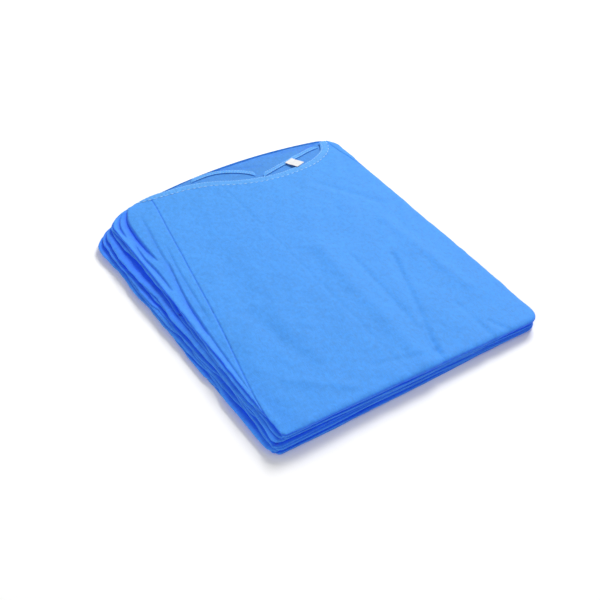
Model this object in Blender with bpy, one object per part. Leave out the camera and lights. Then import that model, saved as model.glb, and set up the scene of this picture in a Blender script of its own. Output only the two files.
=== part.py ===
"""A disposable surgical gown of thin non-woven cloth, folded flat and lying face up.

The gown is folded the way it is packed: both sides turned under, then the length turned under in
thirds, so the chest and the neck lie on top. Metres, +Z up, origin at the bottom centre. +Y points to
the neck, +X to the wearer's left arm, which is on the right when the chest is seen from above.
"""

import math
from collections import namedtuple

import bpy
import numpy as np

# The folded size follows from the gown as it is cut: a body 1.40 m around, laid flat and its sides
# turned under, and 1.26 m long, turned under in thirds.
GOWN_GIRTH = 1.40
GOWN_LENGTH = 1.26
HALF_WIDTH = GOWN_GIRTH / 8 + 0.001
HALF_LENGTH = GOWN_LENGTH / 6 + 0.001

# Heights of the hidden layers. The sleeves are stacked at the left, which makes that side higher.
MIDDLE_HEIGHT = 0.0180
SIDE_TILT = 0.0052
LENGTH_TILT = -0.0008
CROWN = 0.0024

# One cloth wall, the gap that keeps neighbours apart, and how high each layer lies on the hidden ones.
WALL = 0.0012
BACK_WALL = 0.0010
GAP = 0.0003
BACK_LOWER = GAP
BACK_UPPER = BACK_LOWER + BACK_WALL + GAP
FRONT = BACK_UPPER + BACK_WALL + GAP
FRONT_OUTSIDE = FRONT + WALL

# The rolled edge where the top layer turns down.
ROLL_RADIUS = 0.0030
ROLL_ANGLES = (30.0, 60.0, 90.0)
ROLL_DROP = 0.0018
ROLL_CLEARANCE = 0.0009

# A fold's nose in section, from its groove down: share of its height, and how far it stands back.
GROOVE_DEPTH = 0.0050
NOSE = ((0.10, 0.0030), (0.36, 0.0006), (0.68, 0.0004))
REST_INSET = 0.0030

# Rows and columns of the mesh over the top, and steps of each half corner.
COLUMNS = 22
ROWS = 28
CORNER_STEPS = 2

# The bindings at the neck, and the small sewn label.
BINDING_WIDTH = 0.0112
BINDING_WALL = 0.0018
BINDING_STEPS = 6
BACK_BINDING_WIDTH = 0.0068
BACK_BINDING_WALL = 0.0010
LABEL_WIDTH = 0.0145
LABEL_LENGTH = 0.0215
LABEL_WALL = 0.0010
LABEL_CENTRE = (0.1110, 0.1860)
LABEL_TURN = 19.0

# The back pieces reach this far under the front, and the hidden layers sink beneath them.
UNDER_FRONT = 0.016
POCKET_LEFT = -0.096
POCKET_BACK = 0.198
POCKET_MARGIN = 0.036
POCKET_SLOPE = 0.024

# Radii of the plan's corners, seen from above.
Corner = namedtuple("Corner", "name across along radius")
CORNERS = (
    Corner("front left", -1, -1, 0.009),
    Corner("front right", 1, -1, 0.017),
    Corner("back right", 1, 1, 0.026),
    Corner("back left", -1, 1, 0.026),
)

# The folds at the edge under the top layer, from the top one down. share is the fold's part of the
# height that is left. left_front, left_back, front, right and back are how far its nose stays inside
# the outline at the front and the back of the left side, and on the other sides. Its nose wanders by
# wave, turns times round the outline, from phase.
Fold = namedtuple("Fold", "name share left_front left_back front right back wave turns phase")
TOP_FOLD = Fold("top layer", 0.0, 0.0170, 0.0205, 0.0015, 0.0008, 0.0010, 0.0016, 3, 0.4)
FOLDS = (
    Fold("upper sleeve", 0.27, 0.0125, 0.0095, 0.0030, 0.0045, 0.0040, 0.0026, 4, 1.9),
    Fold("lower sleeve", 0.24, 0.0090, 0.0030, 0.0010, 0.0020, 0.0012, 0.0020, 5, 4.2),
    Fold("middle third", 0.26, 0.0060, 0.0000, 0.0026, 0.0050, 0.0030, 0.0014, 3, 0.9),
    Fold("bottom third", 0.23, 0.0080, 0.0030, 0.0014, 0.0030, 0.0016, 0.0016, 4, 3.1),
)
SHARE_WAVE = 0.05

# Soft troughs in the top, as the layers beneath leave them: from one point to another, in plan.
Trough = namedtuple("Trough", "name x0 y0 x1 y1 width depth")
TROUGHS = (
    Trough("sleeve edge beneath", -0.060, 0.150, -0.108, -0.165, 0.028, 0.0009),
    Trough("side edge beneath", 0.075, 0.040, 0.128, -0.150, 0.034, 0.0012),
    Trough("front dip", -0.050, -0.150, 0.060, -0.165, 0.040, 0.0008),
)

# Lines over the top, in plan: the seams, the neck and the free edges inside the neck.
NECKLINE = (
    (-0.135, 0.2200), (-0.112, 0.2125), (-0.092, 0.2085), (-0.066, 0.2060), (-0.038, 0.2030),
    (-0.010, 0.1945), (0.022, 0.1790), (0.050, 0.1695), (0.080, 0.1650), (0.108, 0.1655),
    (0.134, 0.1695), (0.154, 0.1775), (0.1670, 0.1870), (0.1750, 0.1990), (0.1785, 0.2130),
    (0.1800, 0.2400),
)
LEFT_RAGLAN = (
    (-0.0885, 0.2350), (-0.0925, 0.1900), (-0.1020, 0.1320), (-0.1180, 0.0270), (-0.1310, -0.0520),
    (-0.1450, -0.1270), (-0.1565, -0.1900), (-0.1620, -0.2400),
)
RIGHT_RAGLAN = ((0.1775, 0.2450), (0.1790, 0.2000), (0.1830, 0.1600), (0.1920, 0.1150), (0.2020, 0.0800))
BACK_UPPER_EDGE = (
    (-0.085, 0.2130), (-0.060, 0.2182), (-0.030, 0.2232), (-0.006, 0.2252), (0.012, 0.2228),
    (0.030, 0.2150), (0.044, 0.2055), (0.053, 0.1950), (0.059, 0.1800), (0.062, 0.1450),
)
BACK_LOWER_EDGE = (
    (0.018, 0.1500), (0.036, 0.1720), (0.058, 0.1865), (0.080, 0.1930), (0.104, 0.1990),
    (0.126, 0.2045), (0.148, 0.2090), (0.184, 0.2130),
)

CLOTH_BLUE = (0.100, 0.365, 0.860, 1.0)
INNER_BLUE = (0.085, 0.300, 0.640, 1.0)
BINDING_BLUE = (0.130, 0.400, 0.860, 1.0)
LABEL_WHITE = (0.820, 0.810, 0.810, 1.0)


def clear_scene():
    for old in list(bpy.data.objects):
        bpy.data.objects.remove(old)


def smooth_line(points, steps=3):
    """A Catmull-Rom curve through the points, with steps pieces between two of them."""
    p = np.array(points, float)
    ends = np.vstack([2 * p[0] - p[1], p, 2 * p[-1] - p[-2]])
    made = []
    for k in range(1, len(ends) - 2):
        a, b, c, d = ends[k - 1 : k + 3]
        for t in np.arange(steps) / steps:
            square = (2 * a - 5 * b + 4 * c - d) * t**2
            cube = (3 * b - a - 3 * c + d) * t**3
            made.append(0.5 * (2 * b + (c - a) * t + square + cube))
    made.append(p[-1])
    return np.array(made)


def shifted_line(line, distance):
    """The line moved to its left by distance, in plan."""
    along = np.gradient(line, axis=0)
    along /= np.linalg.norm(along, axis=1)[:, None]
    return line + distance * np.column_stack([-along[:, 1], along[:, 0]])


def warp(plan):
    """The outline's own shape: the neck end and the right side bow out, and the left one narrows."""
    x, y = plan[..., 0], plan[..., 1]
    across, along = x / HALF_WIDTH, y / HALF_LENGTH
    leftness, backness = (1 - across) / 2, (1 + along) / 2
    right_bow = 0.0140 + 0.0045 * along - 0.0014 * along**2
    neck_bow = 0.0245 - 0.0280 * (across - 0.20) ** 2
    x_out = x - 0.0055 * leftness * along + (1 - leftness) * right_bow
    y_out = y + neck_bow * backness**2 - 0.0030 * across * (1 - backness) ** 2
    return np.stack([x_out, y_out], axis=-1)


def trough_depth(plan):
    """How far the soft troughs lower the top at these points: a bell across, rounded at both ends."""
    depth = np.zeros(plan.shape[:-1])
    for t in TROUGHS:
        start, end = np.array([t.x0, t.y0]), np.array([t.x1, t.y1])
        along = end - start
        share = ((plan - start) @ along) / (along @ along)
        nearest = start + np.clip(share, 0, 1)[..., None] * along
        off = np.linalg.norm(plan - nearest, axis=-1) / t.width
        depth += t.depth * np.exp(-2 * off**2)
    return depth


def bed_height(plan):
    """Height of the bed that the neck pieces lie on: a slope, a low crown and the troughs."""
    across, along = plan[..., 0] / HALF_WIDTH, plan[..., 1] / HALF_LENGTH
    slope = MIDDLE_HEIGHT - SIDE_TILT * across + LENGTH_TILT * along
    crown = CROWN * np.clip(1 - across**2, 0, 1) * np.clip(1 - along**2, 0, 1)
    return slope + crown - trough_depth(plan)


def smooth_step(value):
    t = np.clip(value, 0, 1)
    return t * t * (3 - 2 * t)


def filling(plan):
    """How far the hidden layers rise above the bed: close under the front, and not at all at the neck."""
    neckline = smooth_line(NECKLINE)
    neck = np.minimum(np.interp(plan[..., 0], neckline[:, 0], neckline[:, 1]), POCKET_BACK)
    away = smooth_step((neck - plan[..., 1] - POCKET_MARGIN) / POCKET_SLOPE)
    left = smooth_step((POCKET_LEFT - plan[..., 0]) / POCKET_SLOPE)
    return (FRONT - GAP) * np.maximum(away, left)


def stations():
    """A ring's points: the side each is on, how far along that side, and the angle it faces."""
    rows = []
    for side, facing in enumerate((-90.0, 0.0, 90.0, 180.0)):
        turns = np.linspace(0, 45, CORNER_STEPS + 1)[1:]
        straight = (ROWS if side % 2 else COLUMNS) - 2 * CORNER_STEPS
        rows += [(side, 0.0, facing - turn) for turn in turns[::-1]]
        rows += [(side, step / straight, facing) for step in range(straight + 1)]
        rows += [(side, 1.0, facing + turn) for turn in turns[:-1]]
    side, share, angle = np.array(rows).T
    return side.astype(int), share, np.radians(angle)


def border_index():
    """The stations of the grid's edge, as grid positions (column, row), in the same order."""
    front = [(i, 0) for i in range(COLUMNS)]
    right = [(COLUMNS, j) for j in range(ROWS)]
    back = [(COLUMNS - i, ROWS) for i in range(COLUMNS)]
    left = [(0, ROWS - j) for j in range(ROWS)]
    return front + right + back + left


def fill_grid(border):
    """Points inside a four-sided border, each one blended from the sides (a Coons patch)."""
    grid = np.zeros((COLUMNS + 1, ROWS + 1, 2))
    for (i, j), point in zip(border_index(), border):
        grid[i, j] = point
    u = (np.arange(COLUMNS + 1) / COLUMNS)[:, None, None]
    v = (np.arange(ROWS + 1) / ROWS)[None, :, None]
    front, back = grid[:, :1], grid[:, -1:]
    left, right = grid[:1, :], grid[-1:, :]
    corners = (1 - u) * (1 - v) * grid[0, 0] + u * (1 - v) * grid[-1, 0]
    corners = corners + (1 - u) * v * grid[0, -1] + u * v * grid[-1, -1]
    return (1 - v) * front + v * back + (1 - u) * left + u * right - corners


class Pack:
    """The plan and the heights that every layer shares."""

    def __init__(self):
        self.side, self.share, self.angle = stations()
        self.normals = np.column_stack([np.cos(self.angle), np.sin(self.angle)])
        self.round = 2 * math.pi * np.arange(len(self.side)) / len(self.side)
        self.top_insets, self.top_wander = self.insets(TOP_FOLD), self.wander(TOP_FOLD)
        inside = FRONT_OUTSIDE + ROLL_RADIUS
        flat = self.rounded(self.top_insets + inside, self.top_wander)
        self.grid = warp(fill_grid(flat))
        self.border = warp(flat)
        self.border_height = bed_height(self.border)
        self.roll_end = self.border_height - ROLL_RADIUS - ROLL_DROP

    def insets(self, fold):
        """How far inside the outline: left at the front, left at the back, front, right and back."""
        return np.array([fold.left_front, fold.left_back, fold.front, fold.right, fold.back])

    def wander(self, fold):
        return fold.wave * (1 + np.sin(fold.turns * self.round + fold.phase)) / 2

    def rounded(self, insets, wander):
        """A rectangle with round corners: this far inside the outline on its sides, in plan."""
        left_front, left_back, front, right, back = insets
        ends = np.empty((4, len(self.side), 2))
        for number, corner in enumerate(CORNERS):
            left = left_back if corner.along > 0 else left_front
            x = HALF_WIDTH - right if corner.across > 0 else -HALF_WIDTH + left
            y = HALF_LENGTH - back if corner.along > 0 else -HALF_LENGTH + front
            centre = np.array([x - corner.across * corner.radius, y - corner.along * corner.radius])
            ends[number] = centre + corner.radius * self.normals
        pick = np.arange(len(self.side))
        start, end = ends[self.side, pick], ends[(self.side + 1) % 4, pick]
        plan = (1 - self.share)[:, None] * start + self.share[:, None] * end
        return plan - self.normals * wander[:, None]

    def ring(self, insets, wander, height):
        plan = warp(self.rounded(insets, wander))
        return np.column_stack([plan, np.broadcast_to(height, len(plan))])

    def roll_rings(self, lift):
        """The rolled edge of a layer that lies lift above the bed, as rings from the top down."""
        rings = []
        radius = ROLL_RADIUS + lift
        for degrees in ROLL_ANGLES:
            angle = math.radians(degrees)
            wander = self.top_wander + FRONT_OUTSIDE + ROLL_RADIUS - radius * math.sin(angle)
            height = self.border_height + lift - radius * (1 - math.cos(angle))
            rings.append(self.ring(self.top_insets, wander, height))
        return rings

    def layer(self, lift_at):
        """Top grid and rolled edge of a layer, as one list of points, lifted by lift_at(plan)."""
        heights = bed_height(self.grid) + lift_at(self.grid)
        top = np.concatenate([self.grid, heights[..., None]], axis=-1).reshape(-1, 3)
        return np.concatenate([top, *self.roll_rings(lift_at(self.border))])

    def drape(self, plan, lift, bend_lift=None):
        """Points of a flat plan laid on the bed, lift above it, and turned down over its back edge."""
        on_back = (self.side == 2) | ((self.side == 3) & (self.share == 0))
        back, heights = self.border[on_back][::-1], self.border_height[on_back][::-1]
        edge = np.interp(plan[:, 0], back[:, 0], back[:, 1])
        edge_height = np.interp(plan[:, 0], back[:, 0], heights)
        past = np.maximum(plan[:, 1] - edge, 0)
        bend = ROLL_RADIUS + (lift if bend_lift is None else bend_lift)
        angle = np.minimum(past / bend, math.pi / 2)
        straight_down = past - bend * angle
        radius = ROLL_RADIUS + lift
        y = np.where(past > 0, edge + radius * np.sin(angle), plan[:, 1])
        rolled = edge_height + lift - radius * (1 - np.cos(angle)) - straight_down
        return np.column_stack([plan[:, 0], y, np.where(past > 0, rolled, bed_height(plan) + lift)])


def ring_faces(upper, lower):
    """Triangles between two rings of points, facing outwards when upper is the higher one."""
    faces = []
    for s in range(len(upper)):
        t = (s + 1) % len(upper)
        faces += [(upper[s], lower[s], lower[t]), (upper[s], lower[t], upper[t])]
    return faces


def grid_faces(columns, rows):
    """Triangles of a grid of points that is stored column by column."""
    faces = []
    for i in range(columns):
        for j in range(rows):
            a = i * (rows + 1) + j
            b = a + rows + 1
            faces += [(a, b, b + 1), (a, b + 1, a + 1)]
    return faces


def layer_faces(ring_count):
    """Triangles of the top grid and of the rings below it, and the last ring's points."""
    faces = grid_faces(COLUMNS, ROWS)
    upper = [i * (ROWS + 1) + j for i, j in border_index()]
    first = (COLUMNS + 1) * (ROWS + 1)
    for k in range(ring_count):
        lower = [first + k * len(upper) + s for s in range(len(upper))]
        faces += ring_faces(upper, lower)
        upper = lower
    return faces, upper


def add_object(name, points, faces, colour, roughness=0.85, helper=False):
    mesh = bpy.data.meshes.new(name)
    mesh.from_pydata([tuple(map(float, p)) for p in points], [], faces)
    mesh.update()
    mesh.shade_smooth()
    mesh.set_sharp_from_angle(angle=math.radians(50))
    made = bpy.data.objects.new(name, mesh)
    bpy.context.scene.collection.objects.link(made)
    if helper:
        made.hide_render = True
        made.display_type = "WIRE"
        return made
    material = bpy.data.materials.new(name)
    material.use_nodes = True
    shader = material.node_tree.nodes["Principled BSDF"]
    shader.inputs["Base Color"].default_value = colour
    shader.inputs["Roughness"].default_value = roughness
    shader.inputs["Metallic"].default_value = 0.0
    mesh.materials.append(material)
    return made


def add_sheet(name, upper, lower, colour, roughness=0.85):
    """A closed sheet between two grids of points, each shaped (rows, points in a row, 3)."""
    rows, count = upper.shape[:2]
    number = np.arange(rows * count).reshape(rows, count)
    faces = [tuple(reversed(face)) for face in grid_faces(rows - 1, count - 1)]
    faces += [tuple(rows * count + k for k in reversed(face)) for face in faces]
    rim = [*number[0], *number[1:, -1], *number[-1, -2::-1], *number[-2:0:-1, 0]]
    rim = [int(k) for k in rim]
    faces += ring_faces(rim, [rows * count + k for k in rim])
    points = np.concatenate([upper.reshape(-1, 3), lower.reshape(-1, 3)])
    return add_object(name, points, faces, colour, roughness)


def hidden_layers(pack):
    """The folded sleeves, sides, back and skirt under the top layer, as one solid layered at its edges."""
    top = pack.layer(filling)
    rings = []
    level = pack.roll_end - ROLL_CLEARANCE
    full = level.copy()
    inner, inner_wander = pack.top_insets + FRONT_OUTSIDE, pack.top_wander
    for fold in FOLDS:
        insets, wander = pack.insets(fold), pack.wander(fold)
        groove = np.maximum(inner, insets) + GROOVE_DEPTH
        rings.append(pack.ring(groove, np.maximum(inner_wander, wander), level))
        height = full * (fold.share + SHARE_WAVE * np.sin(fold.turns * pack.round + 2 * fold.phase) / 2)
        if fold is FOLDS[-1]:
            height = level
        for part, depth in NOSE:
            rings.append(pack.ring(insets + depth, wander, level - height * part))
        level = level - height
        inner, inner_wander = insets, wander
    rings.append(pack.ring(inner + REST_INSET, inner_wander, 0.0))
    faces, bottom = layer_faces(len(ROLL_ANGLES) + len(rings))
    faces.append(tuple(reversed(bottom)))
    return add_object("folded_layers", np.concatenate([top, *rings]), faces, CLOTH_BLUE)


def wall_of(pack, name, lift, thickness, colour):
    """A closed wall over the whole top and its rolled edge, from lift up to lift plus thickness."""
    outside = pack.layer(lambda plan: np.full(plan.shape[:-1], lift + thickness))
    inside = pack.layer(lambda plan: np.full(plan.shape[:-1], lift))
    drop = np.array([0, 0, ROLL_DROP])
    count = len(pack.side)
    outside = np.concatenate([outside, outside[-count:] - drop])
    inside = np.concatenate([inside, inside[-count:] - drop])
    faces, rim = layer_faces(len(ROLL_ANGLES) + 1)
    under = len(outside)
    faces += [tuple(under + k for k in reversed(face)) for face in faces]
    faces += ring_faces(rim, [under + k for k in rim])
    return add_object(name, np.concatenate([outside, inside]), faces, colour)


def prism(name, plan, low=-0.02, high=0.08):
    """A closed upright cutter on a plan outline, which is turned to run anticlockwise."""
    x, y = plan[:, 0], plan[:, 1]
    if np.sum(x * np.roll(y, -1) - np.roll(x, -1) * y) < 0:
        plan = plan[::-1]
    count = len(plan)
    points = [(*p, low) for p in plan] + [(*p, high) for p in plan]
    faces = [tuple(reversed(range(count))), tuple(range(count, 2 * count))]
    for s in range(count):
        t = (s + 1) % count
        faces.append((s, t, count + t, count + s))
    return add_object(name, points, faces, CLOTH_BLUE, helper=True)


def cut(target, cutter, operation):
    modifier = target.modifiers.new(cutter.name, "BOOLEAN")
    modifier.operation = operation
    modifier.object = cutter
    modifier.solver = "EXACT"


def beside(name, line, far_x):
    """A cutter from a line across to a far place on one side."""
    return prism(name, np.vstack([line, [(far_x, line[-1, 1]), (far_x, line[0, 1])]]))


def front_and_sleeves(pack):
    """The front panel and both sleeves: one top layer, parted at the raglan seams and cut at the neck."""
    neckline = pack.drape(smooth_line(NECKLINE), FRONT)[:, :2]
    neck = prism("cutter_neck", np.vstack([neckline, [(0.180, 0.270), (-0.135, 0.270)]]))
    left, right = smooth_line(LEFT_RAGLAN), smooth_line(RIGHT_RAGLAN)
    half_seam = np.array([GAP / 2, 0])

    front = wall_of(pack, "front_panel", FRONT, WALL, CLOTH_BLUE)
    cut(front, beside("cutter_left_of_seam", left + half_seam, -0.30), "DIFFERENCE")
    cut(front, beside("cutter_right_of_seam", right - half_seam, 0.30), "DIFFERENCE")
    cut(front, neck, "DIFFERENCE")
    for name, line, far_x in (
        ("left_sleeve", left - half_seam, -0.30),
        ("right_sleeve", right + half_seam, 0.30),
    ):
        sleeve = wall_of(pack, name, FRONT, WALL, CLOTH_BLUE)
        cut(sleeve, beside("keeper_" + name, line, far_x), "INTERSECT")
        cut(sleeve, neck, "DIFFERENCE")


def back_pieces(pack):
    """The two halves of the back that show inside the neck, the upper one lying over the lower one."""
    under = shifted_line(smooth_line(NECKLINE), -UNDER_FRONT)
    for name, edge, lift, from_x, to_x in (
        ("back_panel_upper", BACK_UPPER_EDGE, BACK_UPPER, -0.075, 0.056),
        ("back_panel_lower", BACK_LOWER_EDGE, BACK_LOWER, 0.036, 0.174),
    ):
        low = under[(under[:, 0] > from_x) & (under[:, 0] < to_x)]
        line = smooth_line(edge)
        low_y = np.interp(line[:, 0], low[:, 0], low[:, 1])
        line = line[(line[:, 1] > low_y + 0.002) & (line[:, 0] < to_x) & (line[:, 0] > from_x)]
        line = pack.drape(line, lift + BACK_WALL)[:, :2]
        piece = wall_of(pack, name, lift, BACK_WALL, INNER_BLUE)
        cut(piece, prism("keeper_" + name, np.vstack([low, line[::-1]])), "INTERSECT")


def band(pack, name, line, width, lift, wall):
    """A folded strip laid beside a line, on its left, with its two long edges rounded down."""
    upper, lower = [], []
    for share in np.linspace(0, 1, BINDING_STEPS + 1):
        plan = shifted_line(line, GAP / 2 + share * width)
        face = wall * (1 - 0.3 * abs(2 * share - 1) ** 3)
        upper.append(pack.drape(plan, lift + face, lift))
        lower.append(pack.drape(plan, lift, lift))
    add_sheet(name, np.array(upper), np.array(lower), BINDING_BLUE)


def between(line, low_x, high_x):
    return line[(line[:, 0] > low_x) & (line[:, 0] < high_x)]


def bindings(pack):
    """The folded strips that finish the neck of the front and of each half of the back."""
    front = between(smooth_line(NECKLINE), -0.105, 0.1780)
    band(pack, "neck_binding_front", front, BINDING_WIDTH, FRONT, BINDING_WALL)
    upper = shifted_line(smooth_line(BACK_UPPER_EDGE, 4), -BACK_BINDING_WIDTH)
    upper = between(upper, -0.022, 0.0490)
    on_upper = BACK_UPPER + BACK_WALL + 2 * GAP
    band(pack, "neck_binding_back_upper", upper, BACK_BINDING_WIDTH, on_upper, BACK_BINDING_WALL)
    lower = shifted_line(smooth_line(BACK_LOWER_EDGE, 4), -BACK_BINDING_WIDTH)
    lower = between(lower, 0.066, 0.160)
    on_lower = BACK_LOWER + BACK_WALL + 2 * GAP
    band(pack, "neck_binding_back_lower", lower, BACK_BINDING_WIDTH, on_lower, BACK_BINDING_WALL)


def size_label(pack):
    """The small woven label: its near end lies on the front binding, its far end on the back one."""
    turn = math.radians(LABEL_TURN)
    across = np.array([math.cos(turn), math.sin(turn)])
    along = np.array([-math.sin(turn), math.cos(turn)])
    on_front = FRONT + BINDING_WALL + 2 * GAP
    on_back = BACK_LOWER + BACK_WALL + BACK_BINDING_WALL + 4 * GAP
    upper, lower = [], []
    for share, lift in ((-0.5, on_front), (-0.2, on_front), (0.2, on_back), (0.5, on_back)):
        sides = np.array([[-0.5], [0.5]]) * LABEL_WIDTH * across
        plan = np.array(LABEL_CENTRE) + sides + share * LABEL_LENGTH * along
        upper.append(pack.drape(plan, lift + LABEL_WALL))
        lower.append(pack.drape(plan, lift))
    add_sheet("size_label", np.array(upper), np.array(lower), LABEL_WHITE, roughness=0.6)


def centre_on_origin():
    """Hang everything from one empty, placed so that the solids' own middle is over the origin."""
    bpy.context.view_layer.update()
    depsgraph = bpy.context.evaluated_depsgraph_get()
    lows, highs = [], []
    for solid in [o for o in bpy.data.objects if not o.hide_render]:
        mesh = solid.evaluated_get(depsgraph).data
        points = np.empty(3 * len(mesh.vertices))
        mesh.vertices.foreach_get("co", points)
        lows.append(points.reshape(-1, 3).min(axis=0))
        highs.append(points.reshape(-1, 3).max(axis=0))
    middle = (np.min(lows, axis=0) + np.max(highs, axis=0)) / 2
    gown = bpy.data.objects.new("gown", None)
    bpy.context.scene.collection.objects.link(gown)
    gown.location = (-middle[0], -middle[1], 0)
    for made in list(bpy.data.objects):
        if made is not gown:
            made.parent = gown


def main():
    clear_scene()
    pack = Pack()
    hidden_layers(pack)
    front_and_sleeves(pack)
    back_pieces(pack)
    bindings(pack)
    size_label(pack)
    centre_on_origin()


main()
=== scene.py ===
# %% [markdown]
# # A folded surgical gown
#
# The object is one disposable gown of thin blue non-woven cloth, folded flat with its chest and neck
# on top. The frame gives plain closed solids. This lesson covers them with cloth: thin curved sheets
# that roll over the edges, a cascade of folded layers, sewn bindings, stitches and a small blank label.

# %% Load the frame
import math
from collections import namedtuple

import bpy
import numpy as np
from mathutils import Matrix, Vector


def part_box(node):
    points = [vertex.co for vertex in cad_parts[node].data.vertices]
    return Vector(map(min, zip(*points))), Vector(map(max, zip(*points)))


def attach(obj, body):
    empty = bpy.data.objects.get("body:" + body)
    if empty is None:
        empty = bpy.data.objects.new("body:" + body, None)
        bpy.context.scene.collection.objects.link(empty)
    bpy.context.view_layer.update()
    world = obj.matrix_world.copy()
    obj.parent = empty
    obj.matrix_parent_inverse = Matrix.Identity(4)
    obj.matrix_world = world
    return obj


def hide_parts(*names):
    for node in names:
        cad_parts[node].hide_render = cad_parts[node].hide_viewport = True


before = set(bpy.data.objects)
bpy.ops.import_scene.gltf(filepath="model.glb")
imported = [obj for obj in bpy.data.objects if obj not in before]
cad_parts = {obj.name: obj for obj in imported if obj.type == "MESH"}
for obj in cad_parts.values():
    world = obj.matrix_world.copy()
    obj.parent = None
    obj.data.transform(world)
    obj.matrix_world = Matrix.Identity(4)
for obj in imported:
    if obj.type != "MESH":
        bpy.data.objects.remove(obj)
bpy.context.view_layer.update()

print("nodes:", sorted(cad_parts))

# %% [markdown]
# ## The plan that every layer shares
#
# A folded gown is a stack of layers with one outline, so every piece here is worked out from the same
# plan: a rectangle with round corners, a little irregular, and a bed height that falls from the sleeve
# side on the left to the right. It could be read off the solids' meshes, but formulas give clean rows
# of points that a crease or a seam can follow. The neck end bows out, as shoulders slope from a neck.

# %% Outline and heights of the folded gown
HALF_WIDTH, HALF_LENGTH = 0.176, 0.211
MIDDLE_HEIGHT = 0.0180
SIDE_TILT = 0.0052
LENGTH_TILT = -0.0008
CROWN = 0.0024
ROLL_RADIUS = 0.0030
BACK_LOWER_TOP = 0.0013
BACK_UPPER_TOP = 0.0026
FRONT_UNDER = 0.0029
FRONT_TOP = 0.0041
ROLL_DROP = 0.0018
ROLL_CLEARANCE = 0.0009

Corner = namedtuple("Corner", "across along radius")
CORNERS = (Corner(-1, -1, 0.009), Corner(1, -1, 0.017), Corner(1, 1, 0.026), Corner(-1, 1, 0.026))

Trough = namedtuple("Trough", "x0 y0 x1 y1 width depth")
BED_TROUGHS = (
    Trough(-0.060, 0.150, -0.108, -0.165, 0.028, 0.0009),
    Trough(0.075, 0.040, 0.128, -0.150, 0.034, 0.0012),
    Trough(-0.050, -0.150, 0.060, -0.165, 0.040, 0.0008),
)


def along_lines(plan, lines):
    """Sum of soft lines: each is its depth times a bell of the distance to it over its width."""
    total = np.zeros(plan.shape[:-1])
    for line in lines:
        start, end = np.array([line.x0, line.y0]), np.array([line.x1, line.y1])
        run = end - start
        share = np.clip(((plan - start) @ run) / (run @ run), 0, 1)
        off = np.linalg.norm(plan - start - share[..., None] * run, axis=-1) / line.width
        total += line.depth * np.exp(-2 * off**2)
    return total


def bed_height(plan):
    """Height of the bed under the neck: a slope across, a low crown, less the soft troughs."""
    across, along = plan[..., 0] / HALF_WIDTH, plan[..., 1] / HALF_LENGTH
    slope = MIDDLE_HEIGHT - SIDE_TILT * across + LENGTH_TILT * along
    crown = CROWN * np.clip(1 - across**2, 0, 1) * np.clip(1 - along**2, 0, 1)
    return slope + crown - along_lines(plan, BED_TROUGHS)


def warp(plan):
    """The outline's own shape: the neck end and the right side bow out, and the left one narrows."""
    x, y = plan[..., 0], plan[..., 1]
    across, along = x / HALF_WIDTH, y / HALF_LENGTH
    leftness, backness = (1 - across) / 2, (1 + along) / 2
    right_bow = 0.0140 + 0.0045 * along - 0.0014 * along**2
    neck_bow = 0.0245 - 0.0280 * (across - 0.20) ** 2
    x_out = x - 0.0055 * leftness * along + (1 - leftness) * right_bow
    return np.stack([x_out, y + neck_bow * backness**2 - 0.0030 * across * (1 - backness) ** 2], axis=-1)


print("width and length before the bows:", 2 * HALF_WIDTH, 2 * HALF_LENGTH)

# %% [markdown]
# ## Walking round the edge
#
# The edge of the stack is a loop that is walked once for every layer. Each station knows which side it
# is on, how far along, and which way it faces. A ring for any layer is then a rectangle with round
# corners whose sides are moved in by that layer's insets.

# %% Stations and rings
COLUMNS, ROWS, CORNER_STEPS = 176, 224, 16


def stations():
    """Side number, share along that side, and facing angle of each point of a ring."""
    rows = []
    for side, facing in enumerate((-90.0, 0.0, 90.0, 180.0)):
        turns = np.linspace(0, 45, CORNER_STEPS + 1)[1:]
        straight = (ROWS if side % 2 else COLUMNS) - 2 * CORNER_STEPS
        rows += [(side, 0.0, facing - turn) for turn in turns[::-1]]
        rows += [(side, step / straight, facing) for step in range(straight + 1)]
        rows += [(side, 1.0, facing + turn) for turn in turns[:-1]]
    side, share, angle = np.array(rows).T
    return side.astype(int), share, np.radians(angle)


SIDE, SHARE, ANGLE = stations()
COUNT = len(SIDE)
ROUND = 2 * math.pi * np.arange(COUNT) / COUNT
FACING = np.column_stack([np.cos(ANGLE), np.sin(ANGLE)])
LEFTNESS = np.clip(-FACING[:, 0], 0, 1) ** 2

Fold = namedtuple("Fold", "name share left_front left_back front right back wave turns phase")
TOP_FOLD = Fold("top layer", 0.0, 0.0170, 0.0205, 0.0015, 0.0008, 0.0010, 0.0016, 3, 0.4)
FOLDS = (
    Fold("upper sleeve", 0.27, 0.0125, 0.0095, 0.0030, 0.0045, 0.0040, 0.0026, 4, 1.9),
    Fold("lower sleeve", 0.24, 0.0090, 0.0030, 0.0010, 0.0020, 0.0012, 0.0020, 5, 4.2),
    Fold("middle third", 0.26, 0.0060, 0.0000, 0.0026, 0.0050, 0.0030, 0.0014, 3, 0.9),
    Fold("bottom third", 0.23, 0.0080, 0.0030, 0.0014, 0.0030, 0.0016, 0.0016, 4, 3.1),
)
SHARE_WAVE = 0.05


def wander(fold):
    return fold.wave * (1 + np.sin(fold.turns * ROUND + fold.phase)) / 2


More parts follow.
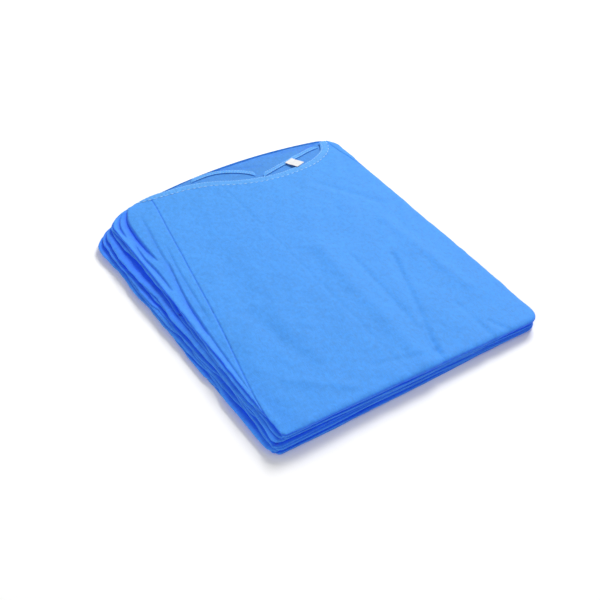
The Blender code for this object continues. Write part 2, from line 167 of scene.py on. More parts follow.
def ring(fold, inward):
    """Plan of a layer's edge: its rectangle, moved in by inward at each station, then warped."""
    ends = np.empty((4, COUNT, 2))
    for number, corner in enumerate(CORNERS):
        left = fold.left_back if corner.along > 0 else fold.left_front
        x = HALF_WIDTH - fold.right if corner.across > 0 else -HALF_WIDTH + left
        y = HALF_LENGTH - fold.back if corner.along > 0 else -HALF_LENGTH + fold.front
        centre = np.array([x - corner.across * corner.radius, y - corner.along * corner.radius])
        ends[number] = centre + corner.radius * FACING
    pick = np.arange(COUNT)
    start, end = ends[SIDE, pick], ends[(SIDE + 1) % 4, pick]
    plan = (1 - SHARE)[:, None] * start + SHARE[:, None] * end
    return warp(plan - FACING * np.broadcast_to(inward, COUNT)[:, None])


outlines = np.concatenate([ring(fold, wander(fold) + 0.0004) for fold in FOLDS])
layers_low, layers_high = (np.array(corner)[:2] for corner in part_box("folded_layers"))
PLAN_MIDDLE = (layers_low + layers_high - outlines.min(axis=0) - outlines.max(axis=0)) / 2
print("plan to frame:", PLAN_MIDDLE.round(4), "plan size", np.ptp(outlines, axis=0).round(4),
      "frame size", (layers_high - layers_low).round(4))

EDGE_REACH = ROLL_RADIUS + FRONT_TOP
BORDER = ring(TOP_FOLD, wander(TOP_FOLD) + EDGE_REACH)
BORDER_HEIGHT = bed_height(BORDER)
BORDER_RUN = np.roll(BORDER, -1, axis=0) - np.roll(BORDER, 1, axis=0)
BORDER_RUN /= np.linalg.norm(BORDER_RUN, axis=1)[:, None]
BORDER_OUT = np.column_stack([BORDER_RUN[:, 1], -BORDER_RUN[:, 0]])
print("border stations:", COUNT)

# %% [markdown]
# ## Laying cloth on the stack
#
# Cloth is drawn flat first, as a cutter sees it, and then laid. Inside the border it keeps its place in
# plan. Past the border its extra length runs round a rolled edge and tucks in underneath. The roll's
# section is a quarter ellipse above and a tighter one below. Because length on the cloth is kept, a
# pattern that is drawn on the flat cloth doesn't stretch where it turns down.

# %% The rolled edge and the laying function
ROLL_HEIGHT = 0.0034
TUCK_HEIGHT = 0.0022
TUCK_DEPTH = 0.0034
turn = np.radians(np.linspace(0, 158, 80))
over = turn > math.pi / 2
SECTION_OUT = np.where(over, EDGE_REACH - TUCK_DEPTH * (1 - np.sin(turn)), EDGE_REACH * np.sin(turn))
SECTION_DOWN = np.where(over, ROLL_HEIGHT - TUCK_HEIGHT * np.cos(turn), ROLL_HEIGHT * (1 - np.cos(turn)))
SECTION_STEP = np.hypot(np.diff(SECTION_OUT), np.diff(SECTION_DOWN))
SECTION_ARC = np.concatenate([[0], np.cumsum(SECTION_STEP)])
SECTION_LEAN = np.arctan2(np.gradient(SECTION_DOWN), np.gradient(SECTION_OUT))
REACH = SECTION_ARC[-1]
SPARE = 0.0060
TUCKED_SHARE = 0.3
SECTION_ARC, SECTION_OUT, SECTION_DOWN, SECTION_LEAN = (
    np.append(values, values[-1] + step)
    for values, step in (
        (SECTION_ARC, SPARE), (SECTION_OUT, -SPARE), (SECTION_DOWN, 0.0), (SECTION_LEAN, 0.0),
    )
)


def nearest(line, plan, chunk=4000):
    """Index of the line's point that is closest to each place in plan, a few thousand at a time."""
    found = np.empty(len(plan), int)
    for first in range(0, len(plan), chunk):
        part = plan[first : first + chunk]
        gap = part[:, None, :] - line[None, :, :]
        found[first : first + chunk] = np.argmin((gap**2).sum(axis=2), axis=1)
    return found


def border_foot(flat):
    """Foot on the border, outward direction and signed distance past it, for each flat place.

    The foot lies between the nearest station and its neighbour. Their outward lines fan apart round a
    corner, so its share is the step along the border over their spacing at that distance.
    """
    k = nearest(BORDER, flat)
    offset = flat - BORDER[k]
    along = (offset * BORDER_RUN[k]).sum(axis=1)
    past = (offset * BORDER_OUT[k]).sum(axis=1)
    side = np.where(along > 0, 1, -1)
    neighbour = (k + side) % COUNT
    spacing = np.linalg.norm(BORDER[neighbour] - BORDER[k], axis=1)
    fan = ((BORDER_OUT[neighbour] - BORDER_OUT[k]) * BORDER_RUN[k]).sum(axis=1) * side
    spread = np.maximum(spacing + np.clip(past, 0, None) * fan, 0.2 * spacing)
    mix = np.clip(np.abs(along) / spread, 0, 0.5)[:, None]
    outward = (1 - mix) * BORDER_OUT[k] + mix * BORDER_OUT[neighbour]
    outward /= np.linalg.norm(outward, axis=1)[:, None]
    foot = (1 - mix) * BORDER[k] + mix * BORDER[neighbour]
    return foot, outward, past


def lay(flat, lift, relief=0.0):
    """Places on flat cloth, laid: in plan as drawn, and past the border round the rolled edge.

    lift is the height over the bed, and relief is a small push along the surface's normal. Relief moves
    the cloth that is tucked in below only a little, so a roll that sags on top doesn't close up.
    """
    shape = flat.shape[:-1]
    flat = flat.reshape(-1, 2)
    foot, outward, past = border_foot(flat)
    arc = np.clip(past, 0, REACH + SPARE)
    out, down, lean = (np.interp(arc, SECTION_ARC, c) for c in (SECTION_OUT, SECTION_DOWN, SECTION_LEAN))
    beyond = (past > 0)[:, None]
    plan = np.where(beyond, foot + outward * out[:, None], flat)
    height = bed_height(np.where(beyond, foot, flat)) + FRONT_TOP - down
    sideways, upward = outward * np.sin(lean)[:, None], np.cos(lean)
    normal = np.column_stack([sideways, upward])
    eased_normal = np.column_stack([sideways, np.maximum(upward, TUCKED_SHARE * upward)])
    raised, pushed = (np.broadcast_to(value, shape).reshape(-1, 1) for value in (lift - FRONT_TOP, relief))
    points = np.column_stack([plan, height]) + normal * raised + eased_normal * pushed
    points[:, :2] += PLAN_MIDDLE
    return points.reshape(*shape, 3)


print("cloth that rolls over the edge:", round(REACH * 1000, 1), "mm")

# %% [markdown]
# ## Lines and patches
#
# Seams and free edges are smooth lines through a few named points. A patch of cloth is filled in
# between four such lines, each inside point blended from the four sides (a Coons patch), so its rows
# follow the seams as the yarns of a cut panel would.

# %% Seams, neckline and free edges
NECKLINE = (
    (-0.135, 0.2200), (-0.112, 0.2125), (-0.092, 0.2085), (-0.066, 0.2060), (-0.038, 0.2030),
    (-0.010, 0.1945), (0.022, 0.1790), (0.050, 0.1695), (0.080, 0.1650), (0.108, 0.1655),
    (0.134, 0.1695), (0.154, 0.1775), (0.1670, 0.1870), (0.1750, 0.1990), (0.1785, 0.2130),
    (0.1800, 0.2400),
)
LEFT_RAGLAN = (
    (-0.0885, 0.2350), (-0.0925, 0.1900), (-0.1020, 0.1320), (-0.1180, 0.0270), (-0.1310, -0.0520),
    (-0.1450, -0.1270), (-0.1565, -0.1900), (-0.1620, -0.2400),
)
RIGHT_RAGLAN = ((0.1775, 0.2450), (0.1790, 0.2000), (0.1830, 0.1600), (0.1920, 0.1150), (0.2020, 0.0800))
BACK_UPPER_EDGE = (
    (-0.085, 0.2130), (-0.060, 0.2182), (-0.030, 0.2232), (-0.006, 0.2252), (0.012, 0.2228),
    (0.030, 0.2150), (0.044, 0.2055), (0.053, 0.1950), (0.059, 0.1800), (0.062, 0.1450),
)
BACK_LOWER_EDGE = (
    (0.018, 0.1500), (0.036, 0.1720), (0.058, 0.1865), (0.080, 0.1930), (0.104, 0.1990),
    (0.126, 0.2045), (0.148, 0.2090), (0.184, 0.2130),
)
FINE_STEPS = 16


def smooth_line(points, steps=FINE_STEPS):
    """A Catmull-Rom curve through the points, each span a cubic in t worked out at once."""
    p = np.array(points, float)
    p = np.vstack([2 * p[0] - p[1], p, 2 * p[-1] - p[-2]])
    a, b, c, d = (p[k : len(p) - 3 + k, None, :] for k in range(4))
    t = (np.arange(steps) / steps)[None, :, None]
    square = (2 * a - 5 * b + 4 * c - d) * t**2
    cube = (3 * b - a - 3 * c + d) * t**3
    line = 0.5 * (2 * b + (c - a) * t + square + cube)
    return np.vstack([line.reshape(-1, 2), p[-2]])


def length_along(line):
    return np.concatenate([[0], np.cumsum(np.linalg.norm(np.diff(line, axis=0), axis=1))])


def at_shares(line, shares):
    """Points of a line at shares of its length, from 0 at its start to 1 at its end."""
    length = length_along(line)
    places = np.asarray(shares) * length[-1]
    return np.column_stack([np.interp(places, length, line[:, axis]) for axis in range(line.shape[1])])


def beside(line, distance):
    """The line moved to its left by distance, which may vary along it."""
    run = np.gradient(line, axis=0)
    run /= np.linalg.norm(run, axis=1)[:, None]
    return line + np.column_stack([-run[:, 1], run[:, 0]]) * np.reshape(distance, (-1, 1))


def patch(front, right, back, left, across, along):
    """A Coons patch. front and back run to the right, left and right run to the back."""
    f, b = (at_shares(line, across)[:, None] for line in (front, back))
    l, r = (at_shares(line, along)[None] for line in (left, right))
    u, v = np.asarray(across)[:, None, None], np.asarray(along)[None, :, None]
    corners = (1 - u) * (1 - v) * f[0, 0] + u * (1 - v) * f[-1, 0] + (1 - u) * v * b[0, 0] + u * v * b[-1, 0]
    return (1 - v) * f + v * b + (1 - u) * l + u * r - corners


def ruled(first, second, along, across):
    """Rows between two lines: straight from a place on the first to the same share of the second."""
    a, b = at_shares(first, along)[:, None], at_shares(second, along)[:, None]
    t = np.asarray(across)[None, :, None]
    return (1 - t) * a + t * b


def eased(count, start=0.0, end=0.0, crowd=3.0):
    """Shares from 0 to 1 that lie crowd times closer in the first start and the last end of the way."""
    places = np.linspace(0, 1, 2001)
    density = 1 + (crowd - 1) * ((places < start) | (places > 1 - end))
    total = np.concatenate([[0], np.cumsum(density[1:])])
    return np.interp(np.linspace(0, total[-1], count), total, places)


neckline, left_raglan, right_raglan = (smooth_line(p) for p in (NECKLINE, LEFT_RAGLAN, RIGHT_RAGLAN))
upper_edge, lower_edge = smooth_line(BACK_UPPER_EDGE), smooth_line(BACK_LOWER_EDGE)
SKIRT = BORDER + BORDER_OUT * REACH
print("neckline:", round(length_along(neckline)[-1] * 1000), "mm")

# %% [markdown]
# ## What gives cloth its relief
#
# Thin non-woven cloth isn't smooth: it keeps pressed creases from packing, swells softly between them,
# puckers along each seam and is crumpled very finely all over. Cloth simulation could make some of
# this, but folded flat it hardly moves, so the relief is listed: a short table of creases,
# uneven in length and depth, and smooth random fields for the rest.

# %% Random fields, creases and puckers
def field(plan, cell, seed):
    """Smooth noise from -1 to 1: random values on a lattice of this cell size, eased between."""
    lattice = np.random.default_rng(seed).uniform(-1, 1, (64, 64))
    place = plan / cell
    low = np.floor(place).astype(int)
    t = place - low
    t = t * t * t * (t * (6 * t - 15) + 10)
    x, y = low[..., 0] % 64, low[..., 1] % 64
    x1, y1 = (x + 1) % 64, (y + 1) % 64
    near = lattice[x, y] * (1 - t[..., 0]) + lattice[x1, y] * t[..., 0]
    far = lattice[x, y1] * (1 - t[..., 0]) + lattice[x1, y1] * t[..., 0]
    return near * (1 - t[..., 1]) + far * t[..., 1]


def turned(plan, degrees, stretch):
    """Plan coordinates turned by an angle and squeezed along the new first axis, for slanting noise."""
    c, s = math.cos(math.radians(degrees)), math.sin(math.radians(degrees))
    first = (plan[..., 0] * c + plan[..., 1] * s) / stretch
    return np.stack([first, plan[..., 1] * c - plan[..., 0] * s], axis=-1)


CREASES = (
    Trough(0.1064, -0.0400, 0.0481, -0.1937, 0.0065, 0.00160),
    Trough(0.0617, -0.0200, 0.0522, -0.1887, 0.0060, 0.00102),
    Trough(0.0377, 0.0100, 0.0283, -0.2001, 0.0160, -0.00174),
    Trough(0.0501, -0.1900, 0.0438, -0.2204, 0.0050, 0.00145),
    Trough(0.1167, -0.1480, 0.1144, -0.2180, 0.0060, 0.00116),
    Trough(0.1273, -0.1871, 0.1374, -0.2111, 0.0045, 0.00116),
    Trough(0.1400, 0.0200, 0.1480, -0.1300, 0.0110, -0.00130),
    Trough(-0.1108, -0.1441, -0.0553, -0.1884, 0.0080, -0.00116),
    Trough(-0.0901, -0.0438, -0.0765, -0.1403, 0.0160, 0.00174),
    Trough(0.0000, 0.1900, 0.0040, -0.2050, 0.0030, 0.00043),
    Trough(-0.1300, -0.0100, 0.1800, -0.0040, 0.0026, -0.00038),
    Trough(0.1100, 0.1300, 0.1600, 0.0500, 0.0080, 0.00087),
    Trough(-0.0200, -0.1750, 0.0300, -0.1900, 0.0060, 0.00087),
)

Fold_line = namedtuple("Fold_line", "points depth steep gentle")
SLEEVE_FOLDS = (
    Fold_line(
        ((-0.117, 0.226), (-0.1265, 0.206), (-0.1345, 0.187), (-0.1375, 0.166), (-0.1385, 0.135),
         (-0.1375, 0.096)),
        0.0046, 0.0013, 0.0062,
    ),
    Fold_line(
        ((-0.1330, 0.206), (-0.1415, 0.195), (-0.1470, 0.181), (-0.1490, 0.158)), 0.0026, 0.0012, 0.0040
    ),
    Fold_line(
        ((-0.1460, 0.140), (-0.1475, 0.110), (-0.1455, 0.080), (-0.1460, 0.040)), 0.0024, 0.0012, 0.0050
    ),
    Fold_line(
        ((-0.1180, 0.185), (-0.1220, 0.150), (-0.1280, 0.110), (-0.1330, 0.060)), 0.0013, 0.0022, 0.0060
    ),
    Fold_line(
        ((-0.1280, 0.090), (-0.1350, 0.050), (-0.1410, 0.010), (-0.1450, -0.045)), 0.0021, 0.0014, 0.0055
    ),
    Fold_line(
        ((-0.1160, 0.120), (-0.1245, 0.070), (-0.1300, 0.020), (-0.1355, -0.030)), 0.0011, 0.0020, 0.0050
    ),
    Fold_line(
        ((-0.1400, 0.020), (-0.1440, -0.030), (-0.1465, -0.090), (-0.1500, -0.150)), 0.0017, 0.0015, 0.0040
    ),
)


def off_line(plan, line):
    """Distance from each place to a line, more than 0 on the line's left, and the share along it."""
    flat = plan.reshape(-1, 2)
    k = nearest(line, flat)
    run = np.gradient(line, axis=0)
    run /= np.linalg.norm(run, axis=1)[:, None]
    offset = flat - line[k]
    side = run[k, 0] * offset[:, 1] - run[k, 1] * offset[:, 0]
    length = length_along(line)
    share = np.clip((length[k] + (run[k] * offset).sum(axis=1)) / length[-1], 0, 1)
    return side.reshape(plan.shape[:-1]), share.reshape(plan.shape[:-1])


def fold_drop(plan, fold_line):
    """How far a fold falls: a steep bell on its left, a gentle rise on its right, none at its ends."""
    side, share = off_line(plan, smooth_line(fold_line.points))
    steep = np.exp(-((side / fold_line.steep) ** 2))
    gentle = np.exp(-np.abs(side) / fold_line.gentle)
    return fold_line.depth * np.sqrt(np.sin(np.pi * share)) * np.where(side > 0, steep, gentle)


def cloth_relief(plan):
    """Creases, plus slow swells, slanting ripples and a fine crumple, each a smaller field."""
    swell = 0.00070 * field(plan, 0.075, 3) + 0.00042 * field(plan, 0.034, 4)
    ripple = 0.00030 * field(turned(plan, 62, 2.6), 0.011, 5)
    ripple = ripple + 0.00024 * field(turned(plan, -38, 2.2), 0.009, 6)
    crumple = 0.00015 * field(plan, 0.0056, 7)
    return swell + ripple + crumple - along_lines(plan, CREASES)


def seam_relief(plan, line, gap=0.0010, dip=0.0009, pucker=0.00026):
    """A seam's groove, and short puckers that run off it: a bell of the distance times a wave."""
    off, share = off_line(plan, line)
    way = share * length_along(line)[-1]
    beat = np.sin(way * 2 * math.pi / 0.0085 + 2.2 * np.sin(way * 41) + 1.3 * np.sin(way * 97))
    strength = 0.55 + 0.45 * np.sin(way * 29 + 1.0)
    groove = -dip * np.exp(-((off / gap) ** 2))
    return groove + pucker * beat * strength * np.exp(-((off / 0.0075) ** 2))


print("creases placed by hand:", len(CREASES))

# %% [markdown]
# ## From arrays to a mesh
#
# Every sheet ends as one grid of points. foreach_set writes the whole array into a mesh at once, and the
# same rows give a UV map in metres of cloth, which the weave follows round every fold.

# %% Grid to mesh
def add_mesh(name, points, faces, uv=None, depth=None):
    """A mesh object from points (n, 3) and quads (m, 4), with a UV and a painted-shade value ('depth') for
    each point.
    """
    mesh = bpy.data.meshes.new(name)
    mesh.vertices.add(len(points))
    mesh.vertices.foreach_set("co", points.astype(np.float32).ravel())
    mesh.loops.add(faces.size)
    mesh.loops.foreach_set("vertex_index", faces.astype(np.int32).ravel())
    mesh.polygons.add(len(faces))
    mesh.polygons.foreach_set("loop_start", np.arange(0, faces.size, 4, dtype=np.int32))
    mesh.update(calc_edges=True)
    if uv is not None:
        layer = mesh.uv_layers.new(name="cloth")
        layer.data.foreach_set("uv", uv[faces.ravel()].astype(np.float32).ravel())
    # The 'depth' attribute holds painted shade: 0 on lit cloth, up to 1 where folds, tucks and seam grooves
    # are painted a darker deep blue with a painted glow.
    if depth is not None:
        painted_shade_value = mesh.attributes.new("depth", "FLOAT", "POINT")
        painted_shade_value.data.foreach_set("value", depth.astype(np.float32).ravel())
    mesh.shade_smooth()
    mesh.validate()
    made = bpy.data.objects.new(name, mesh)
    bpy.context.scene.collection.objects.link(made)
    return made


def grid_quads(rows, columns, closed=False):
    """Quads of a grid of rows by columns points; closed joins the last row to the first."""
    i = np.arange(rows if closed else rows - 1)[:, None]
    j = np.arange(columns - 1)[None, :]
    a, b = i * columns + j, ((i + 1) % rows) * columns + j
    return np.stack([a, b, b + 1, a + 1], axis=-1).reshape(-1, 4)


def add_sheet(name, points, flat, closed=False, thickness=0.0, flip=False, depth=None):
    """A sheet from a grid of points (rows, columns, 3) and its flat coordinates (rows, columns, 2)."""
    rows, columns = points.shape[:2]
    faces = grid_quads(rows, columns, closed)
    if flip:
        faces = faces[:, ::-1]
    made = add_mesh(name, points.reshape(-1, 3), faces, flat.reshape(-1, 2), depth)
    if thickness:
        wall = made.modifiers.new("wall", "SOLIDIFY")
        wall.thickness = thickness
        wall.offset = -1.0
        wall.use_even_offset = False
    print(name, "has", len(faces), "quads")
    return made


def tuck_painted_shade(flat):
    """Painted shade of laid cloth, from 0 on top to 1 where the roll turns in below and shade falls: a smooth
    step.
    """
    t = np.clip((border_foot(flat.reshape(-1, 2))[2] / REACH - 0.42) / 0.45, 0, 1)
    return (t * t * (3 - 2 * t)).reshape(flat.shape[:-1])


def finish_piece(piece, slot, *nodes):
    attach(piece, "root")
    if nodes:
        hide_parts(*nodes)


def cut_of(flat):
    """A cut's size and area: the least box round it over a quarter turn, and the sum of its quads."""
    angles = np.radians(np.arange(0, 90, 3))
    turned_way = flat.reshape(-1, 2) @ np.array([np.cos(angles), np.sin(angles)])
    turned_side = flat.reshape(-1, 2) @ np.array([-np.sin(angles), np.cos(angles)])
    sizes = np.stack([np.ptp(turned_way, axis=0), np.ptp(turned_side, axis=0)])
    size = sizes[:, np.argmin(sizes.prod(axis=0))]
    first, second = flat[1:, 1:] - flat[:-1, :-1], flat[1:, :-1] - flat[:-1, 1:]
    area = np.abs(first[..., 0] * second[..., 1] - first[..., 1] * second[..., 0]).sum() / 2
    return (float(size[0]), float(size[1])), float(area)


def declare_cut(piece, flat):
    """Print how large this cloth is when flat, as far as it shows: the size and area of its cut."""
    size, area = cut_of(flat)
    print(piece.name, "cut", [round(side * 1000) for side in size], "mm, area", round(area * 1e4), "cm2")


# %% [markdown]
# ## The chest panel
#
# The front of the gown is one panel. What shows is its upper third, between the two raglan seams and
# below the scooped neck. It rolls over the front and right edges of the stack and tucks in under
# itself. A patch between those four lines gives rows that run with the seams. Laid flat, the rolled
# corners of the cloth are square, so the patch takes the corner of the cut and not the round of the edge.

# %% Front panel
def first_outside(line):
    """Index of the first point of a line that lies past the end of the rolled edge."""
    return int(np.argmax(border_foot(line)[2] > REACH))


def skirt_between(start, end):
    """The outer edge of the rolled cloth, anticlockwise from one place to another."""
    a, b = nearest(SKIRT, np.array([start, end]))
    return SKIRT[np.arange(a, b if b > a else b + COUNT) % COUNT]


left_top = int(np.argmin(np.abs(left_raglan[:, 1] - 0.2085)))
left_down = left_raglan[left_top:]
left_down = left_down[: first_outside(left_down)]
right_top = int(np.argmin(np.abs(right_raglan[:, 1] - 0.2120)))
right_down = right_raglan[right_top:]
right_down = right_down[: first_outside(right_down)]
front_right_corner = SKIRT[COLUMNS]
left_side_end, front_side_start = SKIRT[COUNT - CORNER_STEPS], SKIRT[CORNER_STEPS]
front_left_corner = np.array([left_side_end[0], front_side_start[1]])
neck_left = nearest(neckline, left_raglan[left_top : left_top + 1])[0]
neck_right = nearest(neckline, right_raglan[right_top : right_top + 1])[0]

chest_neck = neckline[neck_left : neck_right + 1]
chest_left = np.vstack([
    front_left_corner, skirt_between(left_down[-1], left_side_end)[::-1], left_down[1:][::-1], chest_neck[:1],
])
chest_right = np.vstack([
    skirt_between(front_right_corner, right_down[-1]), right_down[1:][::-1], chest_neck[-1:],
])
chest_front = np.vstack([
    front_left_corner, skirt_between(front_side_start, front_right_corner), chest_right[:1],
])
chest_across = eased(200, start=0.03, end=0.036, crowd=4)
chest_along = eased(240, start=0.030)
chest_flat = patch(chest_front, chest_right, chest_neck, chest_left, chest_across, chest_along)


SHOULDER_DROP, SHOULDER_WIDTH = 0.0026, 0.015
left_border = BORDER[SIDE == 3][::-1]


def shoulder(plan):
    """How far the top sags towards its left edge: a bell of the distance from the border on that side."""
    edge = np.interp(plan[..., 1], left_border[:, 1], left_border[:, 0])
    inside = np.clip(plan[..., 0] - edge, 0, None) / SHOULDER_WIDTH
    return SHOULDER_DROP * np.exp(-(inside**2))


def top_relief(plan):
    """Everything that shapes the top layer: creases and fields, the two raglan seams, the left shoulder."""
    seams = seam_relief(plan, left_raglan) + seam_relief(plan, right_raglan)
    return cloth_relief(plan) + seams - shoulder(plan)


def seam_painted_shade(plan):
    """Painted shade along the raglan seam's narrow groove: a bell of the distance to it."""
    return 0.30 * np.exp(-((off_line(plan, left_raglan)[0] / 0.0009) ** 2))


chest_points = lay(chest_flat, FRONT_TOP, top_relief(chest_flat))
# Painted shade for the chest: darker where its roll turns in below, and in the raglan seam's groove.
chest_painted_shade = np.maximum(tuck_painted_shade(chest_flat), seam_painted_shade(chest_flat))
chest = add_sheet("chest_panel", chest_points, chest_flat, depth=chest_painted_shade)
finish_piece(chest, "front_panel", "front_panel")

# %% [markdown]
# ## The sleeves beside it
#
# On a raglan gown the sleeve runs up to the neck. On the left of the picture a strip of one sleeve
# shows, from its seam to where it rolls over the thick edge. The seam's allowance lies under the chest,
# so the strip is lapped beneath it by a few millimetres. Long soft folds fan down the strip from the
# neck. On the other side the fold takes nearly all of the sleeve away, and a sliver is left at the back
# corner.

# %% Left sleeve
SEAM_LAP = 0.0024
neck_run = neckline[: neck_left + 1]
neck_run = neck_run[border_foot(neck_run)[2] < REACH]
lapped = beside(left_down[1:], np.clip(length_along(left_down[1:]) / 0.006, 0, 1) * SEAM_LAP)
sleeve_seam = np.vstack([neck_run, lapped])
sleeve_skirt = skirt_between(neck_run[0], left_down[-1])


def share_at_height(line, height):
    """Share of a line's length at its last point that is still behind this height in the plan."""
    way = length_along(line)
    return way[int(np.argmin(np.abs(line[:, 1] - height)))] / way[-1]


MATCHED = (0.18, 0.10, 0.0, -0.10, -0.195)
seam_anchors = [0, *(share_at_height(sleeve_seam, y) for y in MATCHED), 1]
skirt_anchors = [0, *(share_at_height(sleeve_skirt[:900], y) for y in MATCHED), 1]
rows_down = np.linspace(0, 1, 320)
skirt_rows = np.interp(rows_down, seam_anchors, skirt_anchors)
row_ends = at_shares(sleeve_seam, rows_down), at_shares(sleeve_skirt, skirt_rows)
row_shares = eased(150, start=0.05, end=0.30, crowd=2)[None, :, None]
sleeve_flat = (1 - row_shares) * row_ends[0][:, None] + row_shares * row_ends[1][:, None]
under_chest = np.clip(off_line(sleeve_flat, left_raglan)[0] / 0.0008, 0, 1) * 0.0013
past_edge = border_foot(sleeve_flat.reshape(-1, 2))[2].reshape(sleeve_flat.shape[:-1])
folds_fall = sum(fold_drop(sleeve_flat, line) for line in SLEEVE_FOLDS)
folds_fall = folds_fall * (1 - 0.75 * np.clip(past_edge / 0.007, 0, 1))
sleeve_points = lay(sleeve_flat, FRONT_TOP, top_relief(sleeve_flat) - folds_fall - under_chest)
# Painted shade for the sleeve strip: darker where its roll turns in, in the valleys of its folds, and in the
# seam's groove.
sleeve_painted_shade = np.maximum(tuck_painted_shade(sleeve_flat), np.clip(folds_fall / 0.0042, 0, 1) ** 1.4)
sleeve_painted_shade = np.maximum(sleeve_painted_shade, seam_painted_shade(sleeve_flat))
sleeve = add_sheet("left_sleeve_strip", sleeve_points, sleeve_flat, flip=True, depth=sleeve_painted_shade)
finish_piece(sleeve, "left_sleeve", "left_sleeve")
declare_cut(sleeve, sleeve_flat)

# %% Right sleeve
sliver_seam = right_down[::-1]
sliver_skirt = skirt_between(right_down[-1], SKIRT[COLUMNS + ROWS])
sliver_flat = ruled(sliver_seam, sliver_skirt, np.linspace(0.02, 1, 70), eased(22))
sliver_points = lay(sliver_flat, FRONT_TOP, top_relief(sliver_flat))
# Painted shade where the sliver's roll turns in below.
sliver = add_sheet("right_sleeve_strip", sliver_points, sliver_flat, flip=True, depth=tuck_painted_shade(sliver_flat))
finish_piece(sliver, "right_sleeve", "right_sleeve")
declare_cut(sliver, sliver_flat)

# %% [markdown]
# ## The folded layers at the edge
#
# Under the top layer lie the sleeves, the turned-in sides and the lower thirds, and only their folded
# edges show. Each is a loop of cloth that comes out of the stack, turns round a soft nose and goes back
# in. One profile is carried round the stack for each loop, and its nose, its height and its roundness
# wander, so the lines between the layers run unevenly, meet and part as they do in a real stack.

# %% Loops of cloth round the stack
Loop = namedtuple("Loop", "fold top bottom inset roundness seed pair")
UNDER_TOP = (Loop(TOP_FOLD, 0.00, 0.62, 0.0014, 1.5, 11, 41), Loop(TOP_FOLD, 0.62, 1.00, 0.0004, 1.1, 12, 41))
LOOPS = {
    "upper_sleeve_folds": (
        Loop(FOLDS[0], 0.00, 0.60, 0.0000, 1.6, 13, 42), Loop(FOLDS[0], 0.60, 1.00, 0.0016, 1.0, 14, 42),
    ),
    "lower_sleeve_folds": (
        Loop(FOLDS[1], 0.00, 0.38, 0.0018, 1.0, 15, 43), Loop(FOLDS[1], 0.38, 1.00, 0.0000, 1.5, 16, 43),
    ),
    "middle_third_folds": (
        Loop(FOLDS[2], 0.00, 0.58, 0.0000, 1.6, 17, 44), Loop(FOLDS[2], 0.58, 1.00, 0.0014, 1.1, 18, 44),
    ),
    "bottom_third_folds": (
        Loop(FOLDS[3], 0.00, 0.45, 0.0000, 1.1, 19, 45), Loop(FOLDS[3], 0.45, 1.00, 0.0006, 1.5, 20, 45),
    ),
}
LAYER_GAP = 0.00012
LEAF_DIP = 0.0048
NOSE_ANGLES = np.radians(np.linspace(90, -90, 11))


def wave_round(seed, turns=(5, 9, 14, 23, 61)):
    """A closed wave round the stack, near -1 to 1: sines with random phases, weaker as they get finer."""
    random = np.random.default_rng(seed)
    return sum(np.sin(n * ROUND + random.uniform(0, 2 * math.pi)) / (1 + 0.16 * n) for n in turns)


def fold_levels():
    """Height of each groove between folds, from under the top layer down to the floor."""
    level = BORDER_HEIGHT - ROLL_RADIUS - ROLL_DROP - ROLL_CLEARANCE
    full, levels = level, [level]
    for fold in FOLDS[:-1]:
        height = full * (fold.share + SHARE_WAVE * np.sin(fold.turns * ROUND + 2 * fold.phase) / 2)
        level = level - height
        levels.append(level)
    return levels + [np.zeros(COUNT)]


def loop_points(loop, top, bottom):
    """One loop: a half-ellipse nose between its levels, and a run back into the stack on each side.

    On the left the upper run dips, to stay clear of the sleeve's deep folds above it.
    """
    shift = (0.07 + 0.11 * LEFTNESS) * wave_round(loop.pair)
    high = top - (top - bottom) * (loop.top + (shift if loop.top > 0 else 0))
    low = top - (top - bottom) * (loop.bottom + (shift if loop.bottom < 1 else 0))
    middle, half = (high + low) / 2, (high - low) / 2 - LAYER_GAP
    sway = (0.0007 + 0.0022 * LEFTNESS) * wave_round(loop.seed)
    nose = np.maximum(loop.inset + wander(loop.fold) + sway, -0.0010)
    depth = 0.0060 + 0.0100 * LEFTNESS
    rise = loop.roundness * half * (1 + 1.1 * LEFTNESS)
    dip = LEAF_DIP * LEFTNESS
    inward = [nose + rise + depth, nose + rise + 0.35 * depth]
    height = [middle + half - dip, middle + half * 1.02 - 0.35 * dip]
    for step, angle in enumerate(NOSE_ANGLES):
        wrinkle = 0.00040 * wave_round(loop.seed + 7 * step // 3, (31, 67, 89)) * (1 + LEFTNESS)
        inward.append(nose + rise * (1 - math.cos(angle)) + wrinkle)
        height.append(middle + half * math.sin(angle))
    inward += [nose + rise + 0.35 * depth, nose + rise + depth]
    height += [middle - half, middle - half]
    rows = [np.column_stack([ring(loop.fold, i) + PLAN_MIDDLE, h]) for i, h in zip(inward, height)]
    points = np.array(rows).transpose(1, 0, 2)
    points[..., 2] = np.maximum(points[..., 2], 0.0001)
    return points


def round_flat(points):
    """Flat coordinates of a loop: length walked round the stack, and length along its section."""
    walk = np.concatenate([[0], np.cumsum(np.linalg.norm(np.diff(points[:, 7], axis=0), axis=1))])
    section = np.linalg.norm(np.diff(points, axis=1), axis=2).mean(axis=0)
    across = np.concatenate([[0], np.cumsum(section)])
    return np.stack(np.broadcast_arrays(walk[:, None], across[None, :]), axis=-1)


